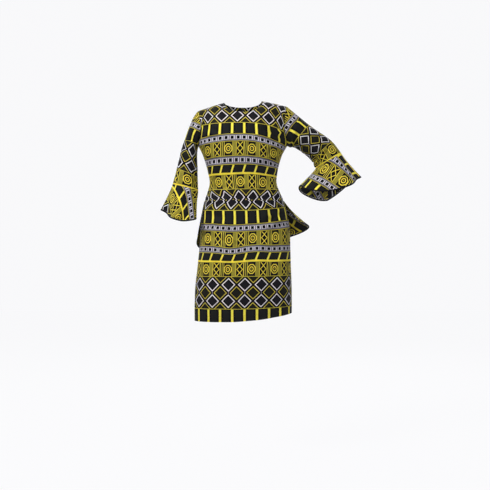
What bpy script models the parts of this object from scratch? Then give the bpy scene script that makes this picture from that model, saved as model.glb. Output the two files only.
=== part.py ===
"""A fitted knee-length wax print dress: round neck, set-in sleeves with circular bell flounces,
and a flared peplum at the back, set in the waist seam. Metres, +Z up, the front faces -Y, and
+X is the wearer's left. The origin lies between the tops of the two shoulder seams, where the
shoulders carry the dress."""
import math
from collections import defaultdict, namedtuple

import bmesh
import bpy
from mathutils import Matrix, Vector

WALL = 0.0015
SEAM = 0.0003
HALF_SEAM = SEAM / 2
SLEEVE_EASE = 0.00035
ROUNDNESS = 2.4

HEM = -0.921
WAIST = -0.42
UNDERARM = -0.19
HEM_LIFT = 0.031
HEM_LIFT_FROM = -0.10
HEM_LIFT_SPAN = 0.30
HEM_LIFT_TOP = -0.55

# The body in level rings: its middle, half its width, and how deep it is before and behind.
Ring = namedtuple("Ring", "z centre half_width front back")
RINGS = (
    Ring(-0.921, 0.005, 0.204, 0.115, 0.120),
    Ring(-0.860, 0.005, 0.204, 0.118, 0.124),
    Ring(-0.780, 0.006, 0.202, 0.122, 0.130),
    Ring(-0.700, 0.009, 0.196, 0.124, 0.136),
    Ring(-0.620, 0.012, 0.191, 0.122, 0.138),
    Ring(-0.550, 0.013, 0.188, 0.118, 0.134),
    Ring(-0.500, 0.013, 0.182, 0.113, 0.125),
    Ring(-0.420, 0.009, 0.165, 0.106, 0.104),
    Ring(-0.350, 0.005, 0.141, 0.102, 0.088),
    Ring(-0.300, 0.003, 0.146, 0.108, 0.088),
    Ring(-0.256, 0.002, 0.157, 0.118, 0.092),
    Ring(-0.222, 0.002, 0.169, 0.125, 0.096),
    Ring(-0.190, 0.0035, 0.1865, 0.122, 0.098),
)

# Neck and shoulders. A tip is where a shoulder seam meets its sleeve.
NECK_CENTRE = 0.004
NECK_HALF_WIDTH = 0.078
NECK_SIDE_Z = {"left": -0.001, "right": -0.008}
NECK_FRONT = (-0.071, -0.055)
NECK_BACK = (0.068, -0.019)
TIP = {"left": (0.188, -0.024), "right": (-0.186, -0.044)}
ARMHOLE_DEPTH = 0.062
ARMHOLE_INSET = 0.012
ARMHOLE_REACH = 5
ARMHOLE_BLEND = 0.3
ROLL_START = 0.2
CHEST_EASE = 1.6
BACK_EASE = 1.05

# Sleeve sections, from the armhole to the bell: the ends of each one's upright middle line, how
# far behind the shoulder it lies, and half its depth from front to back.
Section = namedtuple("Section", "along top_x top_z under_x under_z middle_y half_depth")
SLEEVES = {
    "left": (
        Section(0.00, 0.188, -0.024, 0.190, -0.190, 0.000, 0.062),
        Section(0.22, 0.236, -0.064, 0.220, -0.195, 0.003, 0.060),
        Section(0.42, 0.283, -0.101, 0.249, -0.212, 0.008, 0.057),
        Section(0.62, 0.333, -0.135, 0.280, -0.236, 0.016, 0.054),
        Section(0.82, 0.381, -0.169, 0.302, -0.256, 0.024, 0.052),
        Section(1.00, 0.420, -0.218, 0.311, -0.281, 0.028, 0.051),
    ),
    "right": (
        Section(0.00, -0.186, -0.044, -0.183, -0.190, 0.000, 0.062),
        Section(0.14, -0.205, -0.073, -0.187, -0.204, -0.001, 0.061),
        Section(0.30, -0.223, -0.115, -0.188, -0.229, -0.004, 0.059),
        Section(0.46, -0.240, -0.165, -0.187, -0.262, -0.010, 0.057),
        Section(0.64, -0.256, -0.220, -0.186, -0.300, -0.017, 0.055),
        Section(0.82, -0.270, -0.282, -0.185, -0.340, -0.024, 0.053),
        Section(1.00, -0.289, -0.352, -0.182, -0.379, -0.030, 0.053),
    ),
}

# Bell hems: four places round each, and the waves that the flare falls into.
Bell = namedtuple("Bell", "outer inner front_z back_z middle_y half_depth waves wave_depth phase")
BELLS = {
    "left": Bell((0.494, -0.314), (0.243, -0.350), -0.376, -0.408, 0.012, 0.092, 5, 0.008, 0.9),
    "right": Bell((-0.326, -0.454), (-0.187, -0.485), -0.500, -0.486, -0.046, 0.088, 5, 0.011, 0.4),
}
BELL_FLARE = 1.15
BELL_TUCK = 0.75
BELL_DIP = 1.5
BELL_UNEVEN = 0.2

# The peplum, round the back from the wearer's left side seam (0) to the right one (1): how far its
# hem stands off the skirt and how far it drops below the waist.
Flare = namedtuple("Flare", "round_back stand_off drop")
PEPLUM = (
    Flare(0.00, 0.050, 0.080),
    Flare(0.07, 0.076, 0.094),
    Flare(0.16, 0.074, 0.138),
    Flare(0.30, 0.062, 0.162),
    Flare(0.50, 0.054, 0.182),
    Flare(0.70, 0.042, 0.192),
    Flare(0.88, 0.018, 0.192),
    Flare(1.00, 0.007, 0.150),
)
PEPLUM_SEAT = 0.0021
PEPLUM_CURVE = 1.25
PEPLUM_WAVES = 6
PEPLUM_WAVE_SHARE = 0.24
PEPLUM_WAVE_PHASE = 2.2
PEPLUM_UNEVEN = 0.6
PEPLUM_SPLIT = 0.004
LOOK_AHEAD = 0.01

BINDING = 0.007
BINDING_WALL = 0.0024

# The largest creases on the front: two ends as seen from the front, width, and depth inwards.
Crease = namedtuple("Crease", "x1 z1 x2 z2 width depth")
CREASES = (
    Crease(0.112, -0.506, 0.186, -0.452, 0.015, 0.0045),
    Crease(0.120, -0.470, 0.176, -0.428, 0.013, 0.0035),
    Crease(0.095, -0.128, 0.158, -0.168, 0.018, -0.0040),
    Crease(0.085, -0.080, 0.160, -0.112, 0.018, 0.0035),
    Crease(-0.110, -0.398, 0.110, -0.412, 0.015, 0.0030),
    Crease(-0.155, -0.560, -0.040, -0.602, 0.018, 0.0030),
)

CREASE_FADE = 0.05

# The zip, from the back of the neck to below the waist.
ZIP_WIDTH = 0.006
ZIP_END = -0.53
ZIP_CLOSE = 0.03
PLATE = (0.0080, 0.0022, 0.0095)
PLATE_GAP = 0.0004
PLATE_BEVEL = 0.0006
PLATE_DROP = 0.0075
EAR = (0.0008, 0.0048, 0.0030)
EAR_PAST_PIN = 0.0012
PIVOT_RISE = 0.0031
PIN_RADIUS = 0.0006
TAB_WIDTH = 0.0052
TAB_LENGTH = 0.0170
TAB_THICKNESS = 0.0014
EYE_RADIUS = 0.0023
EYE_BORE = 0.0010
EAR_GAP = 0.0004

# How finely each piece is divided.
ACROSS = 24
SKIRT_ROWS = 12
BODICE_ROWS = 7
YOKE_ROWS = 12
SLEEVE_ROWS = 12
BELL_COLUMNS = 48
BELL_ROWS = 5
PEPLUM_COLUMNS = 24
PEPLUM_ROWS = 5
FINE = 96

Look = namedtuple("Look", "red green blue roughness metallic")
PRINT = Look(0.055, 0.050, 0.060, 0.62, 0.0)
YELLOW_PRINT = Look(0.62, 0.50, 0.05, 0.62, 0.0)
BLACK_BINDING = Look(0.015, 0.015, 0.018, 0.55, 0.0)
ZIP_TAPE = Look(0.02, 0.02, 0.022, 0.6, 0.0)
ZIP_METAL = Look(0.35, 0.30, 0.18, 0.35, 1.0)


def clear_scene():
    for thing in list(bpy.data.objects):
        bpy.data.objects.remove(thing, do_unlink=True)


def smooth(rows, column, at):
    """A smooth curve through one column of a table whose first column rises."""
    keys = [row[0] for row in rows]
    values = [getattr(row, column) for row in rows]
    last = len(rows) - 1
    i = min(max(sum(key <= at for key in keys) - 1, 0), last - 1)

    def slope(k):
        low = max(k - 1, 0)
        high = min(k + 1, last)
        return (values[high] - values[low]) / (keys[high] - keys[low])

    span = keys[i + 1] - keys[i]
    t = min(max((at - keys[i]) / span, 0.0), 1.0)
    start = (1 + 2 * t) * (1 - t) ** 2 * values[i] + t * (1 - t) ** 2 * span * slope(i)
    end = t * t * (3 - 2 * t) * values[i + 1] - t * t * (1 - t) * span * slope(i + 1)
    return start + end


def evenly(points, count, start=0.0, stop=1.0):
    """count + 1 points at even distances along a line of many points."""
    reach = [0.0]
    for a, b in zip(points, points[1:]):
        reach.append(reach[-1] + (b - a).length)
    found = []
    i = 0
    for step in range(count + 1):
        goal = reach[-1] * (start + (stop - start) * step / count)
        while i < len(points) - 2 and reach[i + 1] < goal:
            i += 1
        part = (goal - reach[i]) / (reach[i + 1] - reach[i])
        found.append(points[i].lerp(points[i + 1], min(max(part, 0.0), 1.0)))
    return found


def crease_depth(x, z):
    total = 0.0
    for crease in CREASES:
        along = Vector((crease.x2 - crease.x1, crease.z2 - crease.z1))
        here = Vector((x - crease.x1, z - crease.z1))
        t = min(max(here.dot(along) / along.length_squared, 0.0), 1.0)
        away = (here - along * t).length / crease.width
        total += crease.depth * math.exp(-away * away)
    return total


def creased(point):
    """A point of the front, pushed in by the creases, which fade out towards the side seams."""
    fade = min(max(-point.y / CREASE_FADE, 0.0), 1.0)
    return Vector((point.x, point.y + fade * crease_depth(point.x, point.z), point.z))


def lifted(point):
    """The skirt's hem rides up a little towards the wearer's left."""
    across = max(point.x - HEM_LIFT_FROM, 0.0) / HEM_LIFT_SPAN
    down = max(HEM_LIFT_TOP - point.z, 0.0) / (HEM_LIFT_TOP - HEM)
    return Vector((point.x, point.y, point.z + HEM_LIFT * across**2 * down**1.5))


def ring_half(z, face):
    """The front half of a ring from the wearer's right to left, or the back half from left to right."""
    centre = smooth(RINGS, "centre", z)
    half_width = smooth(RINGS, "half_width", z)
    depth = smooth(RINGS, face, z)
    sign = -1 if face == "front" else 1
    points = []
    for step in range(FINE + 1):
        turn = math.pi * step / FINE
        wide = math.copysign(abs(math.cos(turn)) ** (2 / ROUNDNESS), math.cos(turn))
        deep = abs(math.sin(turn)) ** (2 / ROUNDNESS) if 0 < step < FINE else 0.0
        points.append(Vector((centre + sign * half_width * wide, sign * depth * deep, z)))
    return points


def body_row(z, face, count, start=0.0, stop=1.0):
    row = evenly(ring_half(z, face), count, start, stop)
    if face == "front":
        row = [creased(point) for point in row]
    return [lifted(point) for point in row]


def armhole_point(side, face, v):
    """The armhole's edge from the underarm (0) to the shoulder tip (1)."""
    tip_x, tip_z = TIP[side]
    under_x = SLEEVES[side][0].under_x
    rise = (1 - math.cos(math.pi * v)) / 2
    swing = math.sin(math.pi * v)
    inset = math.copysign(ARMHOLE_INSET, tip_x) * swing**2
    deep = ARMHOLE_DEPTH * swing * (-1 if face == "front" else 1)
    x = under_x + (tip_x - under_x) * rise - inset
    return Vector((x, deep, UNDERARM + (tip_z - UNDERARM) * rise))


def top_row(face):
    """The top edge of a bodice: shoulder seam, neckline, shoulder seam."""
    deep, low = NECK_FRONT if face == "front" else NECK_BACK
    quarter = ACROSS // 4
    row = []
    for column in range(ACROSS + 1):
        across = column / ACROSS
        if across <= 0.25:
            side, share = "right", 1 - column / quarter
        elif across >= 0.75:
            side, share = "left", (column - 3 * quarter) / quarter
        else:
            turn = math.pi * (across - 0.25) * 2
            part = (across - 0.25) * 2
            edge = NECK_SIDE_Z["right"] + (NECK_SIDE_Z["left"] - NECK_SIDE_Z["right"]) * part
            x = NECK_CENTRE - NECK_HALF_WIDTH * math.cos(turn)
            row.append(Vector((x, deep * math.sin(turn), edge + (low - edge) * math.sin(turn))))
            continue
        tip_x, tip_z = TIP[side]
        neck_x = NECK_CENTRE + math.copysign(NECK_HALF_WIDTH, tip_x)
        neck_z = NECK_SIDE_Z[side]
        row.append(Vector((neck_x + (tip_x - neck_x) * share, 0.0, neck_z + (tip_z - neck_z) * share)))
    return row


def yoke_rows(face):
    """The bodice above the underarm, bent between its bottom ring, armholes and top edge."""
    bottom = evenly(ring_half(UNDERARM, face), ACROSS)
    top = top_row(face)
    if face == "back":
        bottom.reverse()
    ease = CHEST_EASE if face == "front" else BACK_EASE
    rows = []
    for step in range(1, YOKE_ROWS + 1):
        v = step / YOKE_ROWS
        row = []
        for column in range(ACROSS + 1):
            share = column / ACROSS
            roll = min(max(abs(share - 0.5) * 4 - ROLL_START, 0.0), 1.0)
            low, high = bottom[column], top[column]
            up = (1 - roll) * v + roll * math.sin(math.pi * v / 2)
            x = low.x + (high.x - low.x) * v
            y = low.y + (high.y - low.y) * v**ease
            z = low.z + (high.z - low.z) * up
            point = Vector((x, y, z))
            for side, weight in (("right", 1 - share), ("left", share)):
                end = 0 if side == "right" else ACROSS
                rise = math.sin(math.pi * v / 2)
                under, tip = bottom[end], top[end]
                plain = Vector((
                    under.x + (tip.x - under.x) * v,
                    under.y + (tip.y - under.y) * v**ease,
                    under.z + (tip.z - under.z) * rise,
                ))
                point += (armhole_point(side, face, v) - plain) * weight**ARMHOLE_REACH
            row.append(creased(point) if face == "front" and 0 < column < ACROSS else point)
        rows.append(row)
    if face == "back":
        rows = [row[::-1] for row in rows]
    return rows


def heights(low, high, count):
    return [low + (high - low) * step / count for step in range(count + 1)]


def bodice_rows(face):
    rows = [body_row(z, face, ACROSS) for z in heights(WAIST, UNDERARM, BODICE_ROWS)]
    return rows + yoke_rows(face)


def skirt_rows(face):
    return [body_row(z, face, ACROSS) for z in heights(HEM, WAIST, SKIRT_ROWS)]


def side_sign(side):
    return 1 if side == "left" else -1


def armhole_loop(side):
    """The armhole from the shoulder tip down one edge and up the other, outward side out."""
    faces = ("front", "back") if side == "left" else ("back", "front")
    down = [armhole_point(side, faces[0], 1 - k / YOKE_ROWS) for k in range(YOKE_ROWS)]
    up = [armhole_point(side, faces[1], k / YOKE_ROWS) for k in range(YOKE_ROWS)]
    return down + up


def sleeve_ring(side, along, count):
    """Points of a sleeve's ring, and the way out at each."""
    rows = SLEEVES[side]
    top = Vector((smooth(rows, "top_x", along), smooth(rows, "middle_y", along), smooth(rows, "top_z", along)))
    under = Vector((smooth(rows, "under_x", along), top.y, smooth(rows, "under_z", along)))
    half_depth = smooth(rows, "half_depth", along)
    middle = (top + under) / 2
    up = (top - under) / 2
    forward = Vector((0, -side_sign(side) * half_depth, 0))
    points = []
    ways = []
    for k in range(count):
        turn = math.tau * k / count
        points.append(middle + up * math.cos(turn) + forward * math.sin(turn))
        way = up * math.cos(turn) / up.length_squared + forward * math.sin(turn) / half_depth**2
        ways.append(way.normalized())
    return points, ways


def sleeve_rows(side):
    loop = armhole_loop(side)
    count = len(loop)
    start, _ = sleeve_ring(side, 0.0, count)
    rows = []
    for step in range(SLEEVE_ROWS + 1):
        along = step / SLEEVE_ROWS
        ring, _ = sleeve_ring(side, along, count)
        pull = max(1 - along / ARMHOLE_BLEND, 0.0) ** 2
        rows.append([point + (loop[k] - start[k]) * pull for k, point in enumerate(ring)])
    return rows


def bell_point(side, seam, turn, down):
    """A point of the bell, at an angle round it, from its seam (0) to its hem (1)."""
    bell = BELLS[side]
    outer = Vector((bell.outer[0], 0, bell.outer[1]))
    inner = Vector((bell.inner[0], 0, bell.inner[1]))
    middle = (outer + inner) / 2
    swing = -side_sign(side) * math.sin(turn)
    across = (outer - inner) / 2 * math.cos(turn)
    uneven = 1 + BELL_UNEVEN * (math.sin(2 * turn) - 1)
    ripple = bell.wave_depth * uneven * math.cos(bell.waves * turn + bell.phase + 0.5 * math.sin(turn))
    side_z = middle.z + across.z
    hang = (bell.front_z if swing < 0 else bell.back_z) - middle.z
    behind = swing > 0 and side == "left"
    tuck = BELL_TUCK * max(math.cos(turn), 0.0) if behind else 0.0
    z = side_z + hang * (1 - tuck) * abs(swing) ** BELL_DIP
    out = Vector((math.cos(turn) * math.copysign(1, (outer - inner).x), swing, 0))
    hem = Vector((middle.x + across.x, bell.middle_y + swing * bell.half_depth, z))
    hem += out * ripple
    point = seam.lerp(hem, down)
    early = down - down**BELL_FLARE
    return point - Vector((hem.x - seam.x, hem.y - seam.y, 0)) * early


def bell_rows(side):
    ring, ways = sleeve_ring(side, 1.0, BELL_COLUMNS)
    rows = []
    for step in range(BELL_ROWS + 1):
        down = step / BELL_ROWS
        rows.append([bell_point(side, ring[k], math.tau * k / BELL_COLUMNS, down) for k in range(BELL_COLUMNS)])
    return rows, ways


def peplum_point(round_back, down):
    """A point of the peplum, from the waist seam (0) to its hem (1)."""
    drop = smooth(PEPLUM, "drop", round_back) * down
    stand_off = smooth(PEPLUM, "stand_off", round_back)
    line = ring_half(WAIST - SEAM - drop, "back")
    if round_back + LOOK_AHEAD < 1:
        point, after = evenly(line, 1, round_back, round_back + LOOK_AHEAD)
        way = after - point
    else:
        before, point = evenly(line, 1, round_back - LOOK_AHEAD, round_back)
        way = point - before
    out = Vector((way.y, -way.x, 0)).normalized()
    uneven = PEPLUM_UNEVEN * math.sin(5 * round_back)
    wave = math.cos(math.tau * PEPLUM_WAVES * round_back + PEPLUM_WAVE_PHASE + uneven)
    off = PEPLUM_SEAT + stand_off * down**PEPLUM_CURVE * (1 + PEPLUM_WAVE_SHARE * wave * down)
    return lifted(point + out * off)


def peplum_rows(side):
    start, stop = (0.0, 0.5) if side == "left" else (0.5, 1.0)
    rows = []
    for step in range(PEPLUM_ROWS, -1, -1):
        down = step / PEPLUM_ROWS
        rows.append([
            peplum_point(start + (stop - start) * k / PEPLUM_COLUMNS, down) for k in range(PEPLUM_COLUMNS + 1)
        ])
    return rows


def key(point):
    return tuple(round(value, 5) for value in point)


def face_normals(rows, closed):
    """Each cell's four places and its normal, which points away from the wearer's side."""
    wide = len(rows[0])
    for i in range(len(rows) - 1):
        for j in range(wide if closed else wide - 1):
            k = (j + 1) % wide
            a, b, c, d = rows[i][j], rows[i][k], rows[i + 1][k], rows[i + 1][j]
            yield ((i, j), (i, k), (i + 1, k), (i + 1, j)), (c - a).cross(d - b)


def seam_normals(groups):
    """Normals summed over the groups of panels that meet at a point, so walls turn in side by side."""
    total = defaultdict(Vector)
    for panels in groups:
        sums = defaultdict(Vector)
        for rows, closed in panels:
            for row, normals in zip(rows, own_normals(rows, closed)):
                for point, normal in zip(row, normals):
                    sums[key(point)] = sums[key(point)] + normal
        for place, normal in sums.items():
            total[place] = total[place] + normal.normalized()
    return total


def own_normals(rows, closed, shared=None):
    """A grid of normals. Where shared holds a point, it gives the normal there."""
    found = [[Vector() for _ in row] for row in rows]
    for places, normal in face_normals(rows, closed):
        for i, j in places:
            found[i][j] += normal
    if shared:
        found = [[shared.get(key(point), found[i][j]) for j, point in enumerate(row)] for i, row in enumerate(rows)]
    return [[normal.normalized() for normal in row] for row in found]


def trimmed(rows, bottom=0.0, top=0.0, first=0.0, last=0.0):
    """Rows whose edges are moved in along the cloth. first and last may be one value or one a row."""
    rows = [[point.copy() for point in row] for row in rows]

    def move(point, towards, by):
        point += (towards - point).normalized() * by

    for j in range(len(rows[0])):
        move(rows[0][j], rows[1][j], bottom)
        move(rows[-1][j], rows[-2][j], top)
    for i, row in enumerate(rows):
        move(row[0], row[1], first[i] if isinstance(first, list) else first)
        move(row[-1], row[-2], last[i] if isinstance(last, list) else last)
    return rows


def material(name, look):
    made = bpy.data.materials.new(name)
    made.use_nodes = True
    shader = made.node_tree.nodes["Principled BSDF"]
    shader.inputs["Base Color"].default_value = (look.red, look.green, look.blue, 1)
    shader.inputs["Roughness"].default_value = look.roughness
    shader.inputs["Metallic"].default_value = look.metallic
    return made


def add_object(name, mesh, look, smooth_shaded=True):
    thing = bpy.data.objects.new(name, mesh)
    bpy.context.scene.collection.objects.link(thing)
    mesh.materials.append(material(name, look))
    if smooth_shaded:
        mesh.shade_smooth()
        mesh.set_sharp_from_angle(angle=math.radians(50))
    return thing


def wall(name, rows, normals, look, thickness=WALL, closed=False, lift=0.0):
    """A closed wall whose outer side is the grid, moved out by lift."""
    grid = bmesh.new()
    wide = len(rows[0])
    outer = []
    inner = []
    for row, ways in zip(rows, normals):
        outer.append([grid.verts.new(point + way * lift) for point, way in zip(row, ways)])
        inner.append([grid.verts.new(point + way * (lift - thickness)) for point, way in zip(row, ways)])
    columns = range(wide if closed else wide - 1)
    for i in range(len(rows) - 1):
        for j in columns:
            k = (j + 1) % wide
            grid.faces.new((outer[i][j], outer[i][k], outer[i + 1][k], outer[i + 1][j]))
            grid.faces.new((inner[i + 1][j], inner[i + 1][k], inner[i][k], inner[i][j]))
        if not closed:
            grid.faces.new((inner[i][0], outer[i][0], outer[i + 1][0], inner[i + 1][0]))
            grid.faces.new((outer[i][-1], inner[i][-1], inner[i + 1][-1], outer[i + 1][-1]))
    for j in columns:
        k = (j + 1) % wide
        grid.faces.new((inner[0][j], inner[0][k], outer[0][k], outer[0][j]))
        grid.faces.new((outer[-1][j], outer[-1][k], inner[-1][k], inner[-1][j]))
    bmesh.ops.triangulate(grid, faces=grid.faces)
    if grid.calc_volume(signed=True) < 0:
        bmesh.ops.reverse_faces(grid, faces=grid.faces)
    mesh = bpy.data.meshes.new(name)
    grid.to_mesh(mesh)
    grid.free()
    return add_object(name, mesh, look)


def make_body():
    """The bodice, the skirt and the sleeves, which meet edge to edge at their seams."""
    middle = ACROSS // 2
    bodice_front = bodice_rows("front")
    bodice_back = bodice_rows("back")
    skirt_front = skirt_rows("front")
    skirt_back = skirt_rows("back")
    sleeves = {side: sleeve_rows(side) for side in SLEEVES}
    panels = [(rows, False) for rows in (bodice_front, bodice_back, skirt_front, skirt_back)]
    shared = seam_normals([panels] + [[(rows, True)] for rows in sleeves.values()])

    def panel(name, rows, **edges):
        wall(name, trimmed(rows, **edges), own_normals(rows, False, shared), PRINT)

    half_zip = ZIP_WIDTH / 2 + SEAM
    zip_edge = [half_zip] * len(bodice_back)
    skirt_edge = []
    for row in skirt_back:
        open_part = min(max((row[middle].z - ZIP_END) / ZIP_CLOSE, 0.0), 1.0)
        skirt_edge.append(HALF_SEAM + (half_zip - HALF_SEAM) * open_part)
    all_round = {"bottom": HALF_SEAM, "top": HALF_SEAM}
    panel("front_bodice", bodice_front, first=HALF_SEAM, last=HALF_SEAM, **all_round)
    panel("front_skirt", skirt_front, top=HALF_SEAM, first=HALF_SEAM, last=HALF_SEAM)
    left_half = [row[: middle + 1] for row in bodice_back]
    right_half = [row[middle:] for row in bodice_back]
    panel("back_bodice_left", left_half, first=HALF_SEAM, last=zip_edge, **all_round)
    panel("back_bodice_right", right_half, first=zip_edge, last=HALF_SEAM, **all_round)
    left_half = [row[: middle + 1] for row in skirt_back]
    right_half = [row[middle:] for row in skirt_back]
    panel("back_skirt_left", left_half, top=HALF_SEAM, first=HALF_SEAM, last=skirt_edge)
    panel("back_skirt_right", right_half, top=HALF_SEAM, first=skirt_edge, last=HALF_SEAM)
    for side, rows in sleeves.items():
        cut = [[point.copy() for point in row] for row in rows]
        for j in range(len(cut[0])):
            cut[0][j] += (rows[1][j] - rows[0][j]).normalized() * SLEEVE_EASE
            cut[-1][j] += (rows[-2][j] - rows[-1][j]).normalized() * HALF_SEAM
        normals = own_normals(rows, True, shared)
        normals[-1] = sleeve_ring(side, 1.0, len(rows[0]))[1]
        wall("sleeve_" + side, cut, normals, YELLOW_PRINT, closed=True)
    return bodice_back, skirt_back


def binding_rows(hem, before):
    """Two rows past a hem, in the cloth's own direction: the seam, and the bound edge."""
    near = []
    far = []
    for a, b in zip(hem, before):
        way = (a - b).normalized()
        near.append(a + way * SEAM)
        far.append(a + way * BINDING)
    return [near, far]


def make_bells():
    for side in BELLS:
        rows, ways = bell_rows(side)
        normals = own_normals(rows, True)
        normals[0] = ways
        cut = [row[:] for row in rows]
        cut[0] = [point + (rows[1][k] - point).normalized() * HALF_SEAM for k, point in enumerate(rows[0])]
        wall("cuff_flounce_" + side, cut, normals, YELLOW_PRINT, closed=True)
        edge = binding_rows(rows[-1], rows[-2])
        lift = (BINDING_WALL - WALL) / 2
        wall("cuff_binding_" + side, edge, [normals[-1]] * 2, BLACK_BINDING, BINDING_WALL, True, lift)


def make_peplum():
    for side in ("left", "right"):
        rows = peplum_rows(side)
        split = {"last": PEPLUM_SPLIT} if side == "left" else {"first": PEPLUM_SPLIT}
        rows = trimmed(rows, **split)
        normals = own_normals(rows, False)
        wall("peplum_" + side, rows, normals, PRINT)
        edge = binding_rows(rows[0], rows[1])[::-1]
        lift = (BINDING_WALL - WALL) / 2
        wall("peplum_binding_" + side, edge, [normals[0]] * 2, BLACK_BINDING, BINDING_WALL, False, lift)


def make_zip_chain(bodice_back, skirt_back):
    middle = ACROSS // 2
    line = [row[middle] for row in skirt_back if row[middle].z >= ZIP_END + ZIP_CLOSE]
    line = line[:-1] + [row[middle] for row in bodice_back]
    half = Vector((ZIP_WIDTH / 2, 0, 0))
    rows = [[point + half, point - half] for point in line]
    wall("zip_chain", rows, own_normals(rows, False), ZIP_TAPE)
    return rows[-1], rows[-2]


def box_mesh(name, size, middle):
    made = bmesh.new()
    bmesh.ops.create_cube(made, size=1.0)
    bmesh.ops.scale(made, vec=size, verts=made.verts)
    bmesh.ops.translate(made, vec=middle, verts=made.verts)
    mesh = bpy.data.meshes.new(name)
    made.to_mesh(mesh)
    made.free()
    return mesh


def rod_mesh(name, radius, length, middle, segments=20):
    """A rod along X."""
    made = bmesh.new()
    bmesh.ops.create_cone(made, cap_ends=True, segments=segments, radius1=radius, radius2=radius, depth=length)
    bmesh.ops.rotate(made, verts=made.verts, matrix=Matrix.Rotation(math.pi / 2, 3, "Y"))
    bmesh.ops.translate(made, vec=middle, verts=made.verts)
    mesh = bpy.data.meshes.new(name)
    made.to_mesh(mesh)
    made.free()
    return mesh


def helper(mesh, place):
    thing = bpy.data.objects.new(mesh.name, mesh)
    bpy.context.scene.collection.objects.link(thing)
    thing.matrix_world = place
    thing.hide_render = True
    thing.display_type = "WIRE"
    return thing


def combine(thing, other, operation):
    step = thing.modifiers.new(other.name, "BOOLEAN")
    step.object = other
    step.operation = operation


def make_slider(top, below):
    """The slider at the top of the zip, its pin across two ears, and the tab that hangs on it."""
    start = (top[0] + top[1]) / 2
    down = ((below[0] + below[1]) / 2 - start).normalized()
    out = Vector((1, 0, 0)).cross(down).normalized()
    out = out if out.y > 0 else -out
    wide, thick, tall = PLATE
    turn = Matrix((Vector((1, 0, 0)), out, -down)).transposed().to_4x4()
    middle = start + down * PLATE_DROP + out * (PLATE_GAP + thick / 2)
    place = Matrix.Translation(middle) @ turn
    plate = add_object("zip_slider", box_mesh("zip_slider", (wide, thick, tall), (0, 0, 0)), ZIP_METAL, False)
    plate.matrix_world = place
    edge = plate.modifiers.new("rounded edges", "BEVEL")
    edge.width = PLATE_BEVEL
    edge.segments = 2
    pivot_y = thick / 2 + PIVOT_RISE
    ear_x = TAB_WIDTH / 2 + EAR_GAP + EAR[0] / 2
    for sign, name in ((-1, "ear_right"), (1, "ear_left")):
        ear_middle = (sign * ear_x, pivot_y - EAR[1] / 2 + EAR_PAST_PIN, 0)
        combine(plate, helper(box_mesh(name, EAR, ear_middle), place), "UNION")
    pin = rod_mesh("pin", PIN_RADIUS, 2 * ear_x, (0, pivot_y, 0), 16)
    combine(plate, helper(pin, place), "UNION")
    pivot = place @ Vector((0, pivot_y, 0))
    make_tab(pivot)
    return pivot


def make_tab(pivot):
    """A pull tab with an eye round the pin, hanging straight down."""
    place = Matrix.Translation(pivot)
    eye = rod_mesh("zip_pull_tab", EYE_RADIUS, TAB_WIDTH, (0, 0, 0), 24)
    tab = add_object("zip_pull_tab", eye, ZIP_METAL, False)
    tab.matrix_world = place
    leaf = box_mesh("tab_leaf", (TAB_WIDTH * 0.98, TAB_THICKNESS, TAB_LENGTH), (0, 0, -TAB_LENGTH / 2))
    combine(tab, helper(leaf, place), "UNION")
    bore = rod_mesh("tab_bore", EYE_BORE, TAB_WIDTH * 2, (0, 0, 0), 24)
    combine(tab, helper(bore, place), "DIFFERENCE")


def main():
    clear_scene()
    bodice_back, skirt_back = make_body()
    make_bells()
    make_peplum()
    top, below = make_zip_chain(bodice_back, skirt_back)
    make_slider(top, below)


main()
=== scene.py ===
# %% [markdown]
# This lesson dresses a fitted, knee-length wax print dress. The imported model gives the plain
# solids: bodice, skirt, sleeves, bell flounces, peplum and a zip at the back. Here each cloth
# solid is replaced by a thin, finely divided shell with the same form, its creases and its
# printed pattern. Lengths are in metres, the front faces -Y and +X is the wearer's left.

import math
from collections import defaultdict, namedtuple

import bpy
from mathutils import Matrix, Vector


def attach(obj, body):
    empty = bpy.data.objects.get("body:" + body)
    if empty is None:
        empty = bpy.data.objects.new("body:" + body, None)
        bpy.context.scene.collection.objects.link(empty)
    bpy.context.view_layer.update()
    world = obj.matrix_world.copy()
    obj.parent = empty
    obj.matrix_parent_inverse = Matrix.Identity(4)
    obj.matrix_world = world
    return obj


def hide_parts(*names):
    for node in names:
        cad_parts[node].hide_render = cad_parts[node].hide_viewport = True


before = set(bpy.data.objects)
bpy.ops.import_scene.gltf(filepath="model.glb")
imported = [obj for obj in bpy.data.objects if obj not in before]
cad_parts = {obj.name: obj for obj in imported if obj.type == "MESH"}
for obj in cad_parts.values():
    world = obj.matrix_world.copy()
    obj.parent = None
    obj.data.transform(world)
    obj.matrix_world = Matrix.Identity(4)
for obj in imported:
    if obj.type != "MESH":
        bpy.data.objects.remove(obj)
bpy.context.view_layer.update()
BODY = "dress"

# %% [markdown]
# The camera stands level, four metres in front of the dress, at the height of its hips, with the
# long lens that a catalogue picture is taken with.

# %% Camera
CAMERA_PLACE = (0.0126, -4.0, -0.605)
CAMERA_LENS = 70.0
UPRIGHT = math.pi / 2
camera_data = bpy.data.cameras.new("camera")
camera_data.lens = CAMERA_LENS
camera = bpy.data.objects.new("camera", camera_data)
camera.location = CAMERA_PLACE
camera.rotation_euler = (UPRIGHT, 0, 0)
bpy.context.scene.collection.objects.link(camera)
bpy.context.scene.camera = camera
bpy.context.scene.view_settings.view_transform = "Standard"
print("camera at", CAMERA_PLACE)

# %% [markdown]
# A white floor lies where a wearer's feet would stand, with white walls far away on all sides. All
# glow evenly, as a studio sweep does, so that none shows an edge. They give the cloth no light:
# that comes from panels in front, behind and above, and the world fills in the rest.

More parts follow.
